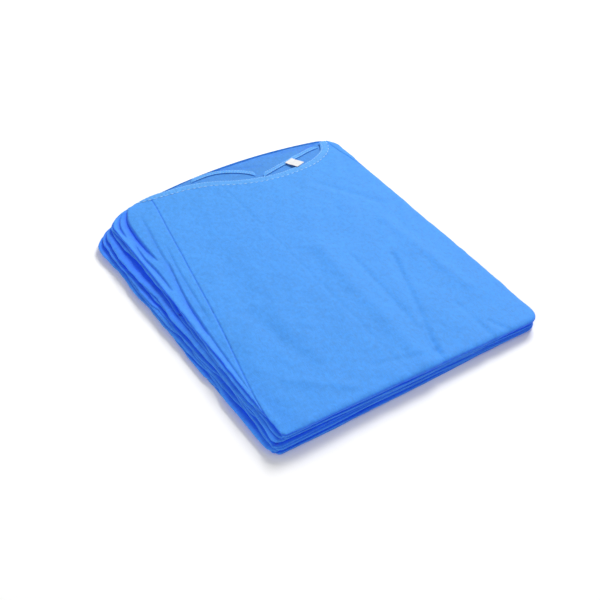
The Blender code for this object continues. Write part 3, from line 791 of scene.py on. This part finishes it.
def add_loops(name, loops, top, bottom):
    """The loops of one fold as one piece, each a closed walk round the stack."""
    grids = [loop_points(loop, top, bottom) for loop in loops]
    flats = [round_flat(grid) + (0, 0.1 * k) for k, grid in enumerate(grids)]
    quads = grid_quads(COUNT, grids[0].shape[1], closed=True)[:, ::-1]
    faces = np.concatenate([quads + k * grids[0].shape[0] * grids[0].shape[1] for k in range(len(grids))])
    points = np.concatenate([grid.reshape(-1, 3) for grid in grids])
    uv = np.concatenate([flat.reshape(-1, 2) for flat in flats])
    # Painted shade of each loop's section: full on the runs back into the stack and on the underside, less on
    # the nose's top, none on its front, where light reaches.
    nose_painted_shade = np.where(NOSE_ANGLES > 0, 0.45, 1.0) * np.abs(np.sin(NOSE_ANGLES)) ** 2
    loop_painted_shade = np.concatenate([[1.0, 0.75], nose_painted_shade, [1.0, 1.0]])
    piece = add_mesh(name, points, faces, uv, np.tile(loop_painted_shade, COUNT * len(loops)))
    finish_piece(piece, "folded_layers", "folded_layers")
    return piece


levels = fold_levels()
under_roll = BORDER_HEIGHT + FRONT_TOP - ROLL_HEIGHT - TUCK_HEIGHT * 0.80
loop_pieces = [add_loops("top_layer_folds", UNDER_TOP, under_roll, levels[0])]
for number, (name, loops) in enumerate(LOOPS.items()):
    loop_pieces.append(add_loops(name, loops, levels[number], levels[number + 1]))

# %% [markdown]
# ## The underside, and the layer beneath the neck
#
# The gown lies on its lowest layer, which is flat. Inside the neck the layer behind the back halves
# shows as a small field of cloth that rolls over the back edge like the rest.

# %% Underside
rest_ring = ring(FOLDS[3], 0.0040 + wander(FOLDS[3]))
corner_at = [0, COLUMNS, COLUMNS + ROWS, 2 * COLUMNS + ROWS, COUNT]
rest_sides = [rest_ring[np.arange(corner_at[k], corner_at[k + 1] + 1) % COUNT] for k in range(4)]
under_flat = patch(
    rest_sides[0], rest_sides[1], rest_sides[2][::-1], rest_sides[3][::-1],
    np.linspace(0, 1, 60), np.linspace(0, 1, 70),
)
under_height = np.full((*under_flat.shape[:2], 1), 0.00005)
under_points = np.concatenate([under_flat + PLAN_MIDDLE, under_height], axis=-1)
underside = add_sheet("underside", under_points, under_flat, flip=True)
finish_piece(underside, "folded_layers", "folded_layers")
declare_cut(underside, under_flat)

# %% The layer behind the neck
NECK_FOLDS = (
    Trough(0.0980, 0.2225, 0.1483, 0.2165, 0.0042, 0.0008),
    Trough(0.1340, 0.2080, 0.1600, 0.2165, 0.0038, 0.0015),
    Trough(0.0150, 0.2270, 0.0700, 0.2080, 0.0050, 0.0009),
)


def inner_relief(plan):
    """Relief of the layers inside the neck: weaker than on top, with the small folds by the right end."""
    return 0.55 * cloth_relief(plan) - along_lines(plan, NECK_FOLDS)


def inner_painted_shade(plan):
    """Painted shade in the neck's small folds: their depth over the deepest one, weakened."""
    return 0.32 * np.clip(along_lines(plan, NECK_FOLDS) / 0.0016, 0, 1) ** 1.5


behind_neck = neckline[neck_left - 12 : int(np.argmax(neckline[:, 0] > 0.158))]
behind_low = beside(behind_neck, -0.026)
behind_edge = skirt_between(np.array([0.205, 0.170]), neckline[neck_left - 12])[::-1]
behind_flat = ruled(behind_low, behind_edge, np.linspace(0, 1, 170), eased(48, end=0.30))
behind_points = lay(behind_flat, 0.0006, inner_relief(behind_flat))
behind = add_sheet("layer_behind_neck", behind_points, behind_flat, depth=inner_painted_shade(behind_flat))
finish_piece(behind, "folded_layers", "folded_layers")
declare_cut(behind, behind_flat)

# %% [markdown]
# ## The two halves of the back
#
# The gown opens down the back, so inside the front's neck lie two halves, one over the other. Each ends
# in its own bound edge. They are ruled between a line that hides under the chest and the free edge.

# %% Back halves
def back_half(name, low, edge, lift, slot):
    flat = ruled(low, edge, np.linspace(0, 1, 110), eased(40, end=0.15))
    points = lay(flat, lift, inner_relief(flat))
    piece = add_sheet(name, points, flat, thickness=0.0005, depth=inner_painted_shade(flat))
    finish_piece(piece, slot, slot)
    return piece, flat


under_neck = beside(neckline, -0.016)
low_left = under_neck[(under_neck[:, 0] > -0.085) & (under_neck[:, 0] < 0.0575)]
low_right = under_neck[(under_neck[:, 0] > 0.036) & (under_neck[:, 0] < 0.174)]
edge_left = upper_edge[upper_edge[:, 0] < 0.0575]
edge_right = lower_edge[(lower_edge[:, 0] > 0.036) & (lower_edge[:, 0] < 0.174)]
half_upper, half_upper_flat = back_half(
    "back_half_upper", low_left, edge_left, BACK_UPPER_TOP, "back_panel_upper"
)
half_lower, half_lower_flat = back_half(
    "back_half_lower", low_right, edge_right, BACK_LOWER_TOP, "back_panel_lower"
)

# %% [markdown]
# ## The bindings
#
# A strip of the same cloth is folded over each edge of the neck and sewn through. It stands a little
# proud, its folded edge is round, and the sewing draws it into small gathers. A section is carried along
# the edge, and the gathers are a wave along the way that fades towards the fold.

# %% Neck bindings
BINDING_SECTION = (
    (0.0001, 0.0005), (0.0004, 0.0012), (0.0016, 0.0016), (0.0030, 0.00152), (0.0056, 0.0018),
    (0.0084, 0.00172), (0.0101, 0.0014), (0.0109, 0.0010), (0.0112, 0.0006), (0.0108, 0.0002),
    (0.0092, 0.0001),
)
FULL_WIDTH, FULL_WALL = 0.0112, 0.0018


def binding(name, line, width, lift, wall, slot, gather=0.00022, seed=31, taper=0.0):
    """The section, scaled to width and wall, carried along the line on its left, with small gathers.

    Over taper at each end both shrink as the root of the distance, which makes the end round.
    """
    section = smooth_line(BINDING_SECTION, 4)
    across, rise = section[:, 0] * width / FULL_WIDTH, section[:, 1] * wall / FULL_WALL
    line = at_shares(line, np.linspace(0, 1, int(length_along(line)[-1] / 0.0009)))
    way = length_along(line)
    beat = np.sin(way * 2 * math.pi / 0.0052 + 2.6 * np.sin(way * 57 + seed) + 1.7 * np.sin(way * 131))
    beat = beat * (0.6 + 0.4 * np.sin(way * 37 + seed))
    fade = np.clip(1.15 - across / width, 0, 1)
    edge_sway = 0.00035 * np.sin(way * 90 + seed) + 0.0002 * np.sin(way * 231)
    from_end = np.minimum(way, way[-1] - way)
    full = np.sqrt(np.clip(from_end / taper, 0.03, 1)) if taper else np.ones(len(way))
    flat = np.stack([beside(line, (a + edge_sway * a / width) * full) for a in across], axis=1)
    relief = cloth_relief(flat) * 0.6 + rise * full[:, None] + gather * beat[:, None] * fade
    uv = np.stack(np.broadcast_arrays(way[:, None], length_along(section)[None, :]), axis=-1)
    piece = add_sheet(name, lay(flat, lift, relief), uv)
    finish_piece(piece, slot, slot)
    print(name, "is", round(way[-1] * 1000), "mm long")
    return piece


front_edge = neckline[(neckline[:, 0] > -0.116) & (neckline[:, 0] < 0.1782)]
upper_line = beside(upper_edge, -0.0068)
upper_line = upper_line[(upper_line[:, 0] > -0.030) & (upper_line[:, 0] < 0.0500)]
lower_line = beside(lower_edge, -0.0068)
lower_line = lower_line[(lower_line[:, 0] > 0.060) & (lower_line[:, 0] < 0.163)]
band_front = binding("binding_front", front_edge, 0.0112, FRONT_UNDER, 0.0018, "neck_binding_front")
band_upper = binding(
    "binding_back_upper", upper_line, 0.0068, 0.0032, 0.0010, "neck_binding_back_upper", 0.00012, 33, 0.006
)
band_lower = binding(
    "binding_back_lower", lower_line, 0.0068, 0.0019, 0.0010, "neck_binding_back_lower", 0.00012, 34, 0.006
)

# %% [markdown]
# ## Stitches
#
# The seam at the neck shows as a line of short pale dashes. Each stitch is a tiny dome, a few dozen
# faces, and all of a row are worked out together: one dome's points times the row's directions.

# %% Rows of stitches
def dome():
    """Unit stitch: half an ellipsoid, from its long axis x over its width y to its height z."""
    long_way = np.linspace(0, math.pi, 8)[:, None]
    cross_way = np.linspace(0, math.pi, 7)[None, :]
    x = np.broadcast_to(-np.cos(long_way), (8, 7))
    return np.stack([x, np.sin(long_way) * np.cos(cross_way), np.sin(long_way) * np.sin(cross_way)], axis=-1)


def stitches(name, line, across, lift, pitch, size, slant=0.0, seed=50):
    """A row of domes along a line, pitch apart. size is half of length, width and height."""
    count = int(length_along(line)[-1] / pitch)
    random = np.random.default_rng(seed)
    shares = (np.arange(count) + 0.5 + random.uniform(-0.08, 0.08, count)) / count
    centre = at_shares(beside(line, across), shares)
    ahead = at_shares(beside(line, across), np.clip(shares + 0.002, 0, 1))
    middle = lay(centre, lift, 0.6 * cloth_relief(centre))
    run = lay(ahead, lift, 0.6 * cloth_relief(centre)) - middle
    run /= np.linalg.norm(run, axis=1)[:, None]
    side = np.cross([0.0, 0.0, 1.0], run)
    side /= np.linalg.norm(side, axis=1)[:, None]
    angle = (slant + random.normal(0, 0.06, count))[:, None]
    run, side = run * np.cos(angle) + side * np.sin(angle), side * np.cos(angle) - run * np.sin(angle)
    up = np.cross(run, side)
    unit = dome().reshape(-1, 3) * np.array(size)
    scale = random.uniform(0.85, 1.12, count)[:, None, None]
    points = middle[:, None] + unit[None, :, :1] * scale * run[:, None]
    points = points + unit[None, :, 1:2] * side[:, None] + unit[None, :, 2:] * up[:, None]
    quads = grid_quads(8, 7)
    faces = (quads[None] + (np.arange(count) * 56)[:, None, None]).reshape(-1, 4)
    uv = np.tile(unit[:, :2], (count, 1))
    piece = add_mesh(name, points.reshape(-1, 3), faces, uv)
    print(name, "has", count, "stitches")
    return piece


seam_line = neckline[(neckline[:, 0] > -0.112) & (neckline[:, 0] < 0.1780)]
SEAM_STITCH, EDGE_STITCH = (0.0023, 0.00042, 0.00034), (0.0012, 0.00028, 0.00022)
row_seam = stitches("stitches_seam", seam_line, 0.0004, 0.00435, 0.0074, SEAM_STITCH, 0.05, 51)
row_edge = stitches("stitches_edge", seam_line, 0.0092, 0.00452, 0.0036, EDGE_STITCH, 0.0, 52)
inner_shares = np.linspace(0.06, 0.94, 60)
upper_row, lower_row = at_shares(upper_line, inner_shares), at_shares(lower_line, inner_shares)
row_upper = stitches("stitches_upper", upper_row, 0.0011, 0.00405, 0.0036, EDGE_STITCH, 0.0, 53)
row_upper_edge = stitches("stitches_upper_edge", upper_row, 0.0056, 0.0041, 0.0036, EDGE_STITCH, 0.0, 54)
row_lower = stitches("stitches_lower", lower_row, 0.0011, 0.0028, 0.0036, EDGE_STITCH, 0.0, 55)
row_lower_edge = stitches("stitches_lower_edge", lower_row, 0.0056, 0.0028, 0.0036, EDGE_STITCH, 0.0, 56)
for row in (row_seam, row_edge):
    finish_piece(row, "neck_binding_front")
for row in (row_upper, row_upper_edge):
    finish_piece(row, "neck_binding_back_upper")
for row in (row_lower, row_lower_edge):
    finish_piece(row, "neck_binding_back_lower")

# %% [markdown]
# ## The size label
#
# A small white woven tab is caught in the back binding and lies over the front one. It is left blank.
# It bends where it steps down, and its free end lifts a little.

# %% Label
LABEL_WIDTH, LABEL_LENGTH = 0.0145, 0.0215
LABEL_CENTRE = np.array([0.1110, 0.1860])
LABEL_TURN = math.radians(19.0)
label_across = np.array([math.cos(LABEL_TURN), math.sin(LABEL_TURN)])
label_along = np.array([-math.sin(LABEL_TURN), math.cos(LABEL_TURN)])
u = np.linspace(-0.5, 0.5, 18)[:, None, None]
v = np.linspace(-0.5, 0.5, 28)[None, :, None]
label_flat = LABEL_CENTRE + u * LABEL_WIDTH * label_across + v * LABEL_LENGTH * label_along
label_lift = np.interp(v[..., 0], [-0.5, -0.34, -0.18, 0.22, 0.5], [0.0060, 0.0056, 0.0053, 0.0038, 0.0037])
label_lift = label_lift + 0.0003 * (2 * u[..., 0]) ** 2 * np.clip(-2 * v[..., 0], 0, 1)
label_uv = np.concatenate(np.broadcast_arrays(u * LABEL_WIDTH, v * LABEL_LENGTH), axis=-1)
label = add_sheet("blank_label", lay(label_flat, label_lift, 0.0), label_uv, thickness=0.00035)
finish_piece(label, "size_label", "size_label")

# %% Cuts of the chest and the back halves
declare_cut(chest, chest_flat)
declare_cut(half_upper, half_upper_flat)
declare_cut(half_lower, half_lower_flat)

# %% [markdown]
# ## The non-woven finish
#
# The cloth is a web of fine fibres, pressed together at rows of tiny points. From a step away it looks
# matt and slightly cloudy. Up close the bond points show as a diamond grid of shallow pits. The effect is
# one node group with named inputs, used by every blue material: it gives a colour, a roughness and a
# height, and each material turns the height into a bump.

# %% Node helpers
def new_group(name, inputs, outputs):
    group = bpy.data.node_groups.new(name, "ShaderNodeTree")
    for label_text, kind, value in inputs:
        socket = group.interface.new_socket(label_text, in_out="INPUT", socket_type=kind)
        if value is not None:
            socket.default_value = value
    for label_text, kind in outputs:
        group.interface.new_socket(label_text, in_out="OUTPUT", socket_type=kind)
    return group


def node(tree, kind, place, settings=(), values=()):
    """A node with its properties and its unlinked input values set."""
    made = tree.nodes.new(kind)
    made.location = place
    for key, value in dict(settings).items():
        setattr(made, key, value)
    for key, value in dict(values).items():
        made.inputs[key].default_value = value
    return made


def math_node(tree, operation, place, first, second=None, clamp=False):
    """A Math node; each operand is a socket or a number."""
    made = node(tree, "ShaderNodeMath", place, {"operation": operation, "use_clamp": clamp})
    for number, operand in enumerate((first, second)):
        if operand is None:
            continue
        if isinstance(operand, (int, float)):
            made.inputs[number].default_value = operand
        else:
            tree.links.new(operand, made.inputs[number])
    return made.outputs[0]


# %% Non-woven web group
def build_web():
    group = new_group(
        "non-woven web",
        (
            ("Vector", "NodeSocketVector", None),
            ("Base Colour", "NodeSocketColor", (0.1, 0.4, 0.8, 1)),
            ("Cloudiness", "NodeSocketFloat", 0.10),
            ("Bond Pitch", "NodeSocketFloat", 0.0017),
            ("Bond Depth", "NodeSocketFloat", 0.5),
        ),
        (("Colour", "NodeSocketColor"), ("Roughness", "NodeSocketFloat"), ("Height", "NodeSocketFloat")),
    )
    enter = node(group, "NodeGroupInput", (-1400, 0))
    leave = node(group, "NodeGroupOutput", (900, 0))
    link = group.links.new

    fibre_turn = node(
        group, "ShaderNodeMapping", (-1150, 300), (), {"Rotation": (0, 0, 0.5), "Scale": (1, 0.22, 1)}
    )
    fibres = node(
        group, "ShaderNodeTexNoise", (-950, 300), (), {"Scale": 620.0, "Detail": 3.0, "Distortion": 1.6}
    )
    link(enter.outputs["Vector"], fibre_turn.inputs["Vector"])
    link(fibre_turn.outputs[0], fibres.inputs["Vector"])
    cloud = node(
        group, "ShaderNodeTexNoise", (-950, 80), (), {"Scale": 190.0, "Detail": 4.0, "Roughness": 0.6}
    )
    drift = node(group, "ShaderNodeTexNoise", (-950, -120), (), {"Scale": 24.0, "Detail": 2.0})
    link(enter.outputs["Vector"], cloud.inputs["Vector"])
    link(enter.outputs["Vector"], drift.inputs["Vector"])

    over_pitch = math_node(group, "DIVIDE", (-1150, -300), 1.0, enter.outputs["Bond Pitch"])
    diamond = node(group, "ShaderNodeMapping", (-1150, -480), (), {"Rotation": (0, 0, math.pi / 4)})
    scaled = node(group, "ShaderNodeVectorMath", (-950, -400), {"operation": "SCALE"})
    link(enter.outputs["Vector"], diamond.inputs["Vector"])
    link(diamond.outputs[0], scaled.inputs[0])
    link(over_pitch, scaled.inputs["Scale"])
    inside = node(group, "ShaderNodeVectorMath", (-780, -400), {"operation": "FRACTION"})
    link(scaled.outputs[0], inside.inputs[0])
    centred = node(group, "ShaderNodeVectorMath", (-610, -400), {"operation": "SUBTRACT"})
    centred.inputs[1].default_value = (0.5, 0.5, 0.0)
    link(inside.outputs[0], centred.inputs[0])
    flat_pair = node(group, "ShaderNodeVectorMath", (-440, -400), {"operation": "MULTIPLY"})
    flat_pair.inputs[1].default_value = (1.0, 1.0, 0.0)
    link(centred.outputs[0], flat_pair.inputs[0])
    away = node(group, "ShaderNodeVectorMath", (-270, -400), {"operation": "LENGTH"})
    link(flat_pair.outputs[0], away.inputs[0])
    bond = node(
        group, "ShaderNodeMapRange", (-100, -400), {"interpolation_type": "SMOOTHSTEP"},
        {"From Min": 0.36, "From Max": 0.18, "To Min": 0.0, "To Max": 1.0},
    )
    link(away.outputs["Value"], bond.inputs["Value"])

    slow = math_node(group, "MULTIPLY", (-780, -60), drift.outputs[0], 0.40)
    mixed = math_node(group, "ADD", (-620, 60), math_node(
        group, "MULTIPLY", (-780, 100), cloud.outputs[0], 1.5), slow)
    centred_cloud = math_node(group, "SUBTRACT", (-460, 100), mixed, 0.95)
    fibre_part = math_node(group, "MULTIPLY", (-700, 280), math_node(
        group, "SUBTRACT", (-820, 380), fibres.outputs[0], 0.5), 1.5)
    total = math_node(group, "ADD", (-380, 160), centred_cloud, fibre_part)
    strength = math_node(group, "MULTIPLY", (-220, 160), total, enter.outputs["Cloudiness"])
    bond_tint = math_node(group, "MULTIPLY", (60, -300), bond.outputs[0], -0.06)
    tint = math_node(group, "ADD", (60, 100), math_node(group, "ADD", (-60, 160), strength, bond_tint), 1.0)
    coloured = node(group, "ShaderNodeVectorMath", (300, 120), {"operation": "SCALE"})
    link(enter.outputs["Base Colour"], coloured.inputs[0])
    link(tint, coloured.inputs["Scale"])
    link(coloured.outputs[0], leave.inputs["Colour"])

    rough = math_node(group, "MULTIPLY", (300, -60), total, 0.12)
    smoother = math_node(group, "MULTIPLY", (300, -180), bond.outputs[0], -0.16)
    link(math_node(group, "ADD", (600, -80), math_node(group, "ADD", (460, -80), rough, smoother), 0.72),
         leave.inputs["Roughness"])

    pits = math_node(group, "MULTIPLY", (300, -420), math_node(
        group, "MULTIPLY", (140, -420), bond.outputs[0], enter.outputs["Bond Depth"]), -1.0)
    web = math_node(group, "MULTIPLY", (300, -560), fibres.outputs[0], 0.35)
    lumps = math_node(group, "MULTIPLY", (300, -680), cloud.outputs[0], 0.9)
    link(math_node(group, "ADD", (640, -500), math_node(group, "ADD", (480, -500), pits, web), lumps),
         leave.inputs["Height"])
    return group


web_group = build_web()
print("web group has", len(web_group.nodes), "nodes")

# %% [markdown]
# ## Materials
#
# Each cloth material places the group, feeds its height to a Bump node and keeps the Principled shader
# to itself. The cloth's soft edge light is a little sheen. Cloth this thin lets some light through, so a
# share of it passes through a Translucent shader. Light that bounces between two layers of blue cloth
# grows bluer each time, and a deep fold shows a strong, almost glowing blue. That is painted: where a
# sheet's 'depth' value is high, the colour is painted a darker deep blue for the shade there, and a faint
# painted glow stands in for the light bounced between the layers.

# %% Cloth materials
def principled(material):
    material.use_nodes = True
    return material.node_tree.nodes["Principled BSDF"]


# Painted shade: the darker, more saturated blue painted into folds, tucks and seam grooves.
PAINTED_SHADE_BLUE = (0.016, 0.130, 0.800, 1.0)


def cloth_material(name, colour, cloudiness, bond_depth, bump=0.00022, sheen=0.25, through=0.28):
    """Cloth from the web group; where the 'depth' value is high the colour is painted shade, a darker deep
    blue, with a faint painted glow of it.
    """
    material = bpy.data.materials.new(name)
    shader = principled(material)
    tree = material.node_tree
    uv = node(tree, "ShaderNodeUVMap", (-900, 0), {"uv_map": "cloth"})
    web = node(tree, "ShaderNodeGroup", (-650, 0), {"node_tree": web_group})
    painted_shade_value = node(tree, "ShaderNodeAttribute", (-1150, 250), {"attribute_name": "depth"})
    painted_shade_colour = node(tree, "ShaderNodeMix", (-900, 250), {"data_type": "RGBA"}, {"A": colour, "B": PAINTED_SHADE_BLUE})
    tree.links.new(painted_shade_value.outputs["Fac"], painted_shade_colour.inputs["Factor"])
    tree.links.new(painted_shade_colour.outputs["Result"], web.inputs["Base Colour"])
    # Painted glow: emission in the shaded places, standing in for light bounced between layers of cloth.
    painted_glow = node(
        tree, "ShaderNodeMix", (-650, -350), {"data_type": "RGBA"},
        {"A": (0, 0, 0, 1), "B": (0.0, 0.030, 0.300, 1)},
    )
    tree.links.new(painted_shade_value.outputs["Fac"], painted_glow.inputs["Factor"])
    tree.links.new(painted_glow.outputs["Result"], shader.inputs["Emission Color"])
    shader.inputs["Emission Strength"].default_value = 0.65
    web.inputs["Cloudiness"].default_value = cloudiness
    web.inputs["Bond Depth"].default_value = bond_depth
    raised = node(tree, "ShaderNodeBump", (-300, -200), (), {"Strength": 0.7, "Distance": bump})
    tree.links.new(uv.outputs[0], web.inputs["Vector"])
    tree.links.new(web.outputs["Colour"], shader.inputs["Base Color"])
    tree.links.new(web.outputs["Roughness"], shader.inputs["Roughness"])
    tree.links.new(web.outputs["Height"], raised.inputs["Height"])
    tree.links.new(raised.outputs[0], shader.inputs["Normal"])
    shader.inputs["Sheen Weight"].default_value = sheen
    shader.inputs["Sheen Roughness"].default_value = 0.45
    shader.inputs["Sheen Tint"].default_value = (0.75, 0.88, 1.0, 1.0)
    shader.inputs["Specular IOR Level"].default_value = 0.30
    passing = node(tree, "ShaderNodeBsdfTranslucent", (100, -300))
    blend = node(tree, "ShaderNodeMixShader", (350, 0), (), {"Fac": through})
    tree.links.new(web.outputs["Colour"], passing.inputs["Color"])
    tree.links.new(raised.outputs[0], passing.inputs["Normal"])
    tree.links.new(shader.outputs[0], blend.inputs[1])
    tree.links.new(passing.outputs[0], blend.inputs[2])
    tree.links.new(blend.outputs[0], tree.nodes["Material Output"].inputs["Surface"])
    return material


OUTER_BLUE = (0.074, 0.385, 0.950, 1.0)
# The layers inside the neck get a darker copy of the outer blue: painted shade for their place low in the
# neck.
SHADED_INNER_BLUE = (0.070, 0.325, 0.820, 1.0)
BINDING_BLUE = (0.115, 0.440, 0.950, 1.0)
outer_cloth = cloth_material("blue non-woven", OUTER_BLUE, 0.28, 0.5)
shaded_inner_cloth = cloth_material("blue non-woven, inner layers", SHADED_INNER_BLUE, 0.28, 0.5)
binding_cloth = cloth_material("blue binding", BINDING_BLUE, 0.28, 0.4, bump=0.00028)
print("cloth materials:", outer_cloth.name, shaded_inner_cloth.name, binding_cloth.name)


# %% Thread and label tape
def thread_material():
    material = bpy.data.materials.new("pale thread")
    shader = principled(material)
    tree = material.node_tree
    uv = node(tree, "ShaderNodeUVMap", (-900, 0), {"uv_map": "cloth"})
    twist = node(
        tree, "ShaderNodeTexWave", (-650, -200), {"bands_direction": "DIAGONAL"},
        {"Scale": 900.0, "Distortion": 1.0},
    )
    raised = node(tree, "ShaderNodeBump", (-300, -200), (), {"Strength": 0.6, "Distance": 0.0001})
    tree.links.new(uv.outputs[0], twist.inputs["Vector"])
    tree.links.new(twist.outputs["Fac"], raised.inputs["Height"])
    tree.links.new(raised.outputs[0], shader.inputs["Normal"])
    shader.inputs["Base Color"].default_value = (0.40, 0.68, 0.96, 1.0)
    shader.inputs["Roughness"].default_value = 0.5
    shader.inputs["Sheen Weight"].default_value = 0.2
    return material


def label_material():
    material = bpy.data.materials.new("white label tape")
    shader = principled(material)
    tree = material.node_tree
    uv = node(tree, "ShaderNodeUVMap", (-1100, 0), {"uv_map": "cloth"})
    ribs = node(
        tree, "ShaderNodeTexWave", (-850, -100), {"bands_direction": "Y"}, {"Scale": 620.0, "Distortion": 0.4}
    )
    mottle = node(tree, "ShaderNodeTexNoise", (-850, 200), (), {"Scale": 300.0, "Detail": 3.0})
    tone = node(tree, "ShaderNodeMapRange", (-600, 200), (), {"To Min": 0.60, "To Max": 0.72})
    raised = node(tree, "ShaderNodeBump", (-300, -200), (), {"Strength": 0.5, "Distance": 0.00008})
    tree.links.new(uv.outputs[0], ribs.inputs["Vector"])
    tree.links.new(uv.outputs[0], mottle.inputs["Vector"])
    tree.links.new(mottle.outputs[0], tone.inputs["Value"])
    tree.links.new(tone.outputs[0], shader.inputs["Base Color"])
    tree.links.new(ribs.outputs["Fac"], raised.inputs["Height"])
    tree.links.new(raised.outputs[0], shader.inputs["Normal"])
    shader.inputs["Roughness"].default_value = 0.55
    return material


thread, tape = thread_material(), label_material()
MATERIALS = {
    "chest_panel": outer_cloth, "left_sleeve_strip": outer_cloth, "right_sleeve_strip": outer_cloth,
    "underside": outer_cloth, "layer_behind_neck": shaded_inner_cloth, "back_half_upper": shaded_inner_cloth,
    "back_half_lower": shaded_inner_cloth, "binding_front": binding_cloth, "binding_back_upper": binding_cloth,
    "binding_back_lower": binding_cloth, "blank_label": tape,
}
for piece in loop_pieces:
    MATERIALS[piece.name] = outer_cloth
for row in (row_seam, row_edge, row_upper, row_upper_edge, row_lower, row_lower_edge):
    MATERIALS[row.name] = thread
for name, material in MATERIALS.items():
    bpy.data.objects[name].data.materials.append(material)
print("pieces with a finish:", len(MATERIALS))

# %% [markdown]
# ## Floor, light and camera
#
# A pale floor, a bright even sky and two large soft lamps give the flat look of a catalogue picture.
# The key lamp stands behind the gown on the right, so the top is bright and the edges nearest the camera
# fall off. The fill lamp at the front left keeps those edges from going dark. The camera stands where
# the photograph's did.

# %% Floor and lights
floor_points = np.array([[-9, -9, -0.0002], [9, -9, -0.0002], [9, 9, -0.0002], [-9, 9, -0.0002]], float)
floor = add_mesh("floor", floor_points, np.array([[0, 1, 2, 3]]))
floor_material = bpy.data.materials.new("pale floor")
floor_shader = principled(floor_material)
floor_shader.inputs["Base Color"].default_value = (0.90, 0.90, 0.90, 1.0)
floor_shader.inputs["Roughness"].default_value = 0.9
floor.data.materials.append(floor_material)

world = bpy.data.worlds.new("pale studio")
bpy.context.scene.world = world
world.use_nodes = True
world.node_tree.nodes["Background"].inputs["Color"].default_value = (1.0, 1.0, 1.0, 1.0)
world.node_tree.nodes["Background"].inputs["Strength"].default_value = 0.47


def soft_lamp(name, place, target, size, watts):
    lamp = bpy.data.lights.new(name, "AREA")
    lamp.shape = "SQUARE"
    lamp.size = size
    lamp.energy = watts
    made = bpy.data.objects.new(name, lamp)
    bpy.context.scene.collection.objects.link(made)
    made.location = place
    aim = np.array(target, float) - np.array(place, float)
    lean = math.acos(-aim[2] / np.linalg.norm(aim))
    made.rotation_euler = (lean, 0, math.atan2(aim[1], aim[0]) - math.pi / 2)
    return made


soft_lamp("key", (1.75, 1.10, 2.05), (0, 0, 0), 1.2, 84)
soft_lamp("fill", (-2.2, -1.2, 1.8), (0, 0, 0), 2.0, 22)

# %% Camera
CAMERA_AZIMUTH, CAMERA_ELEVATION = math.radians(-32.78), math.radians(43.21)
CAMERA_DISTANCE = 1.0101
TOP_PLANE = 0.0235
target = np.array([-0.0321 + PLAN_MIDDLE[0], -0.0501 + PLAN_MIDDLE[1], TOP_PLANE])
back = np.array([
    math.sin(CAMERA_AZIMUTH) * math.cos(CAMERA_ELEVATION),
    -math.cos(CAMERA_AZIMUTH) * math.cos(CAMERA_ELEVATION),
    math.sin(CAMERA_ELEVATION),
])
camera = bpy.data.objects.new("camera", bpy.data.cameras.new("camera"))
bpy.context.scene.collection.objects.link(camera)
camera.location = target + back * CAMERA_DISTANCE
camera.rotation_euler = (math.pi / 2 - CAMERA_ELEVATION, 0, CAMERA_AZIMUTH)
camera.data.sensor_width = 36.0
camera.data.lens = 54.0
camera.data.clip_start = 0.01
bpy.context.scene.camera = camera
bpy.context.scene.view_settings.view_transform = "Standard"
print("camera at", tuple(round(v, 3) for v in camera.location))
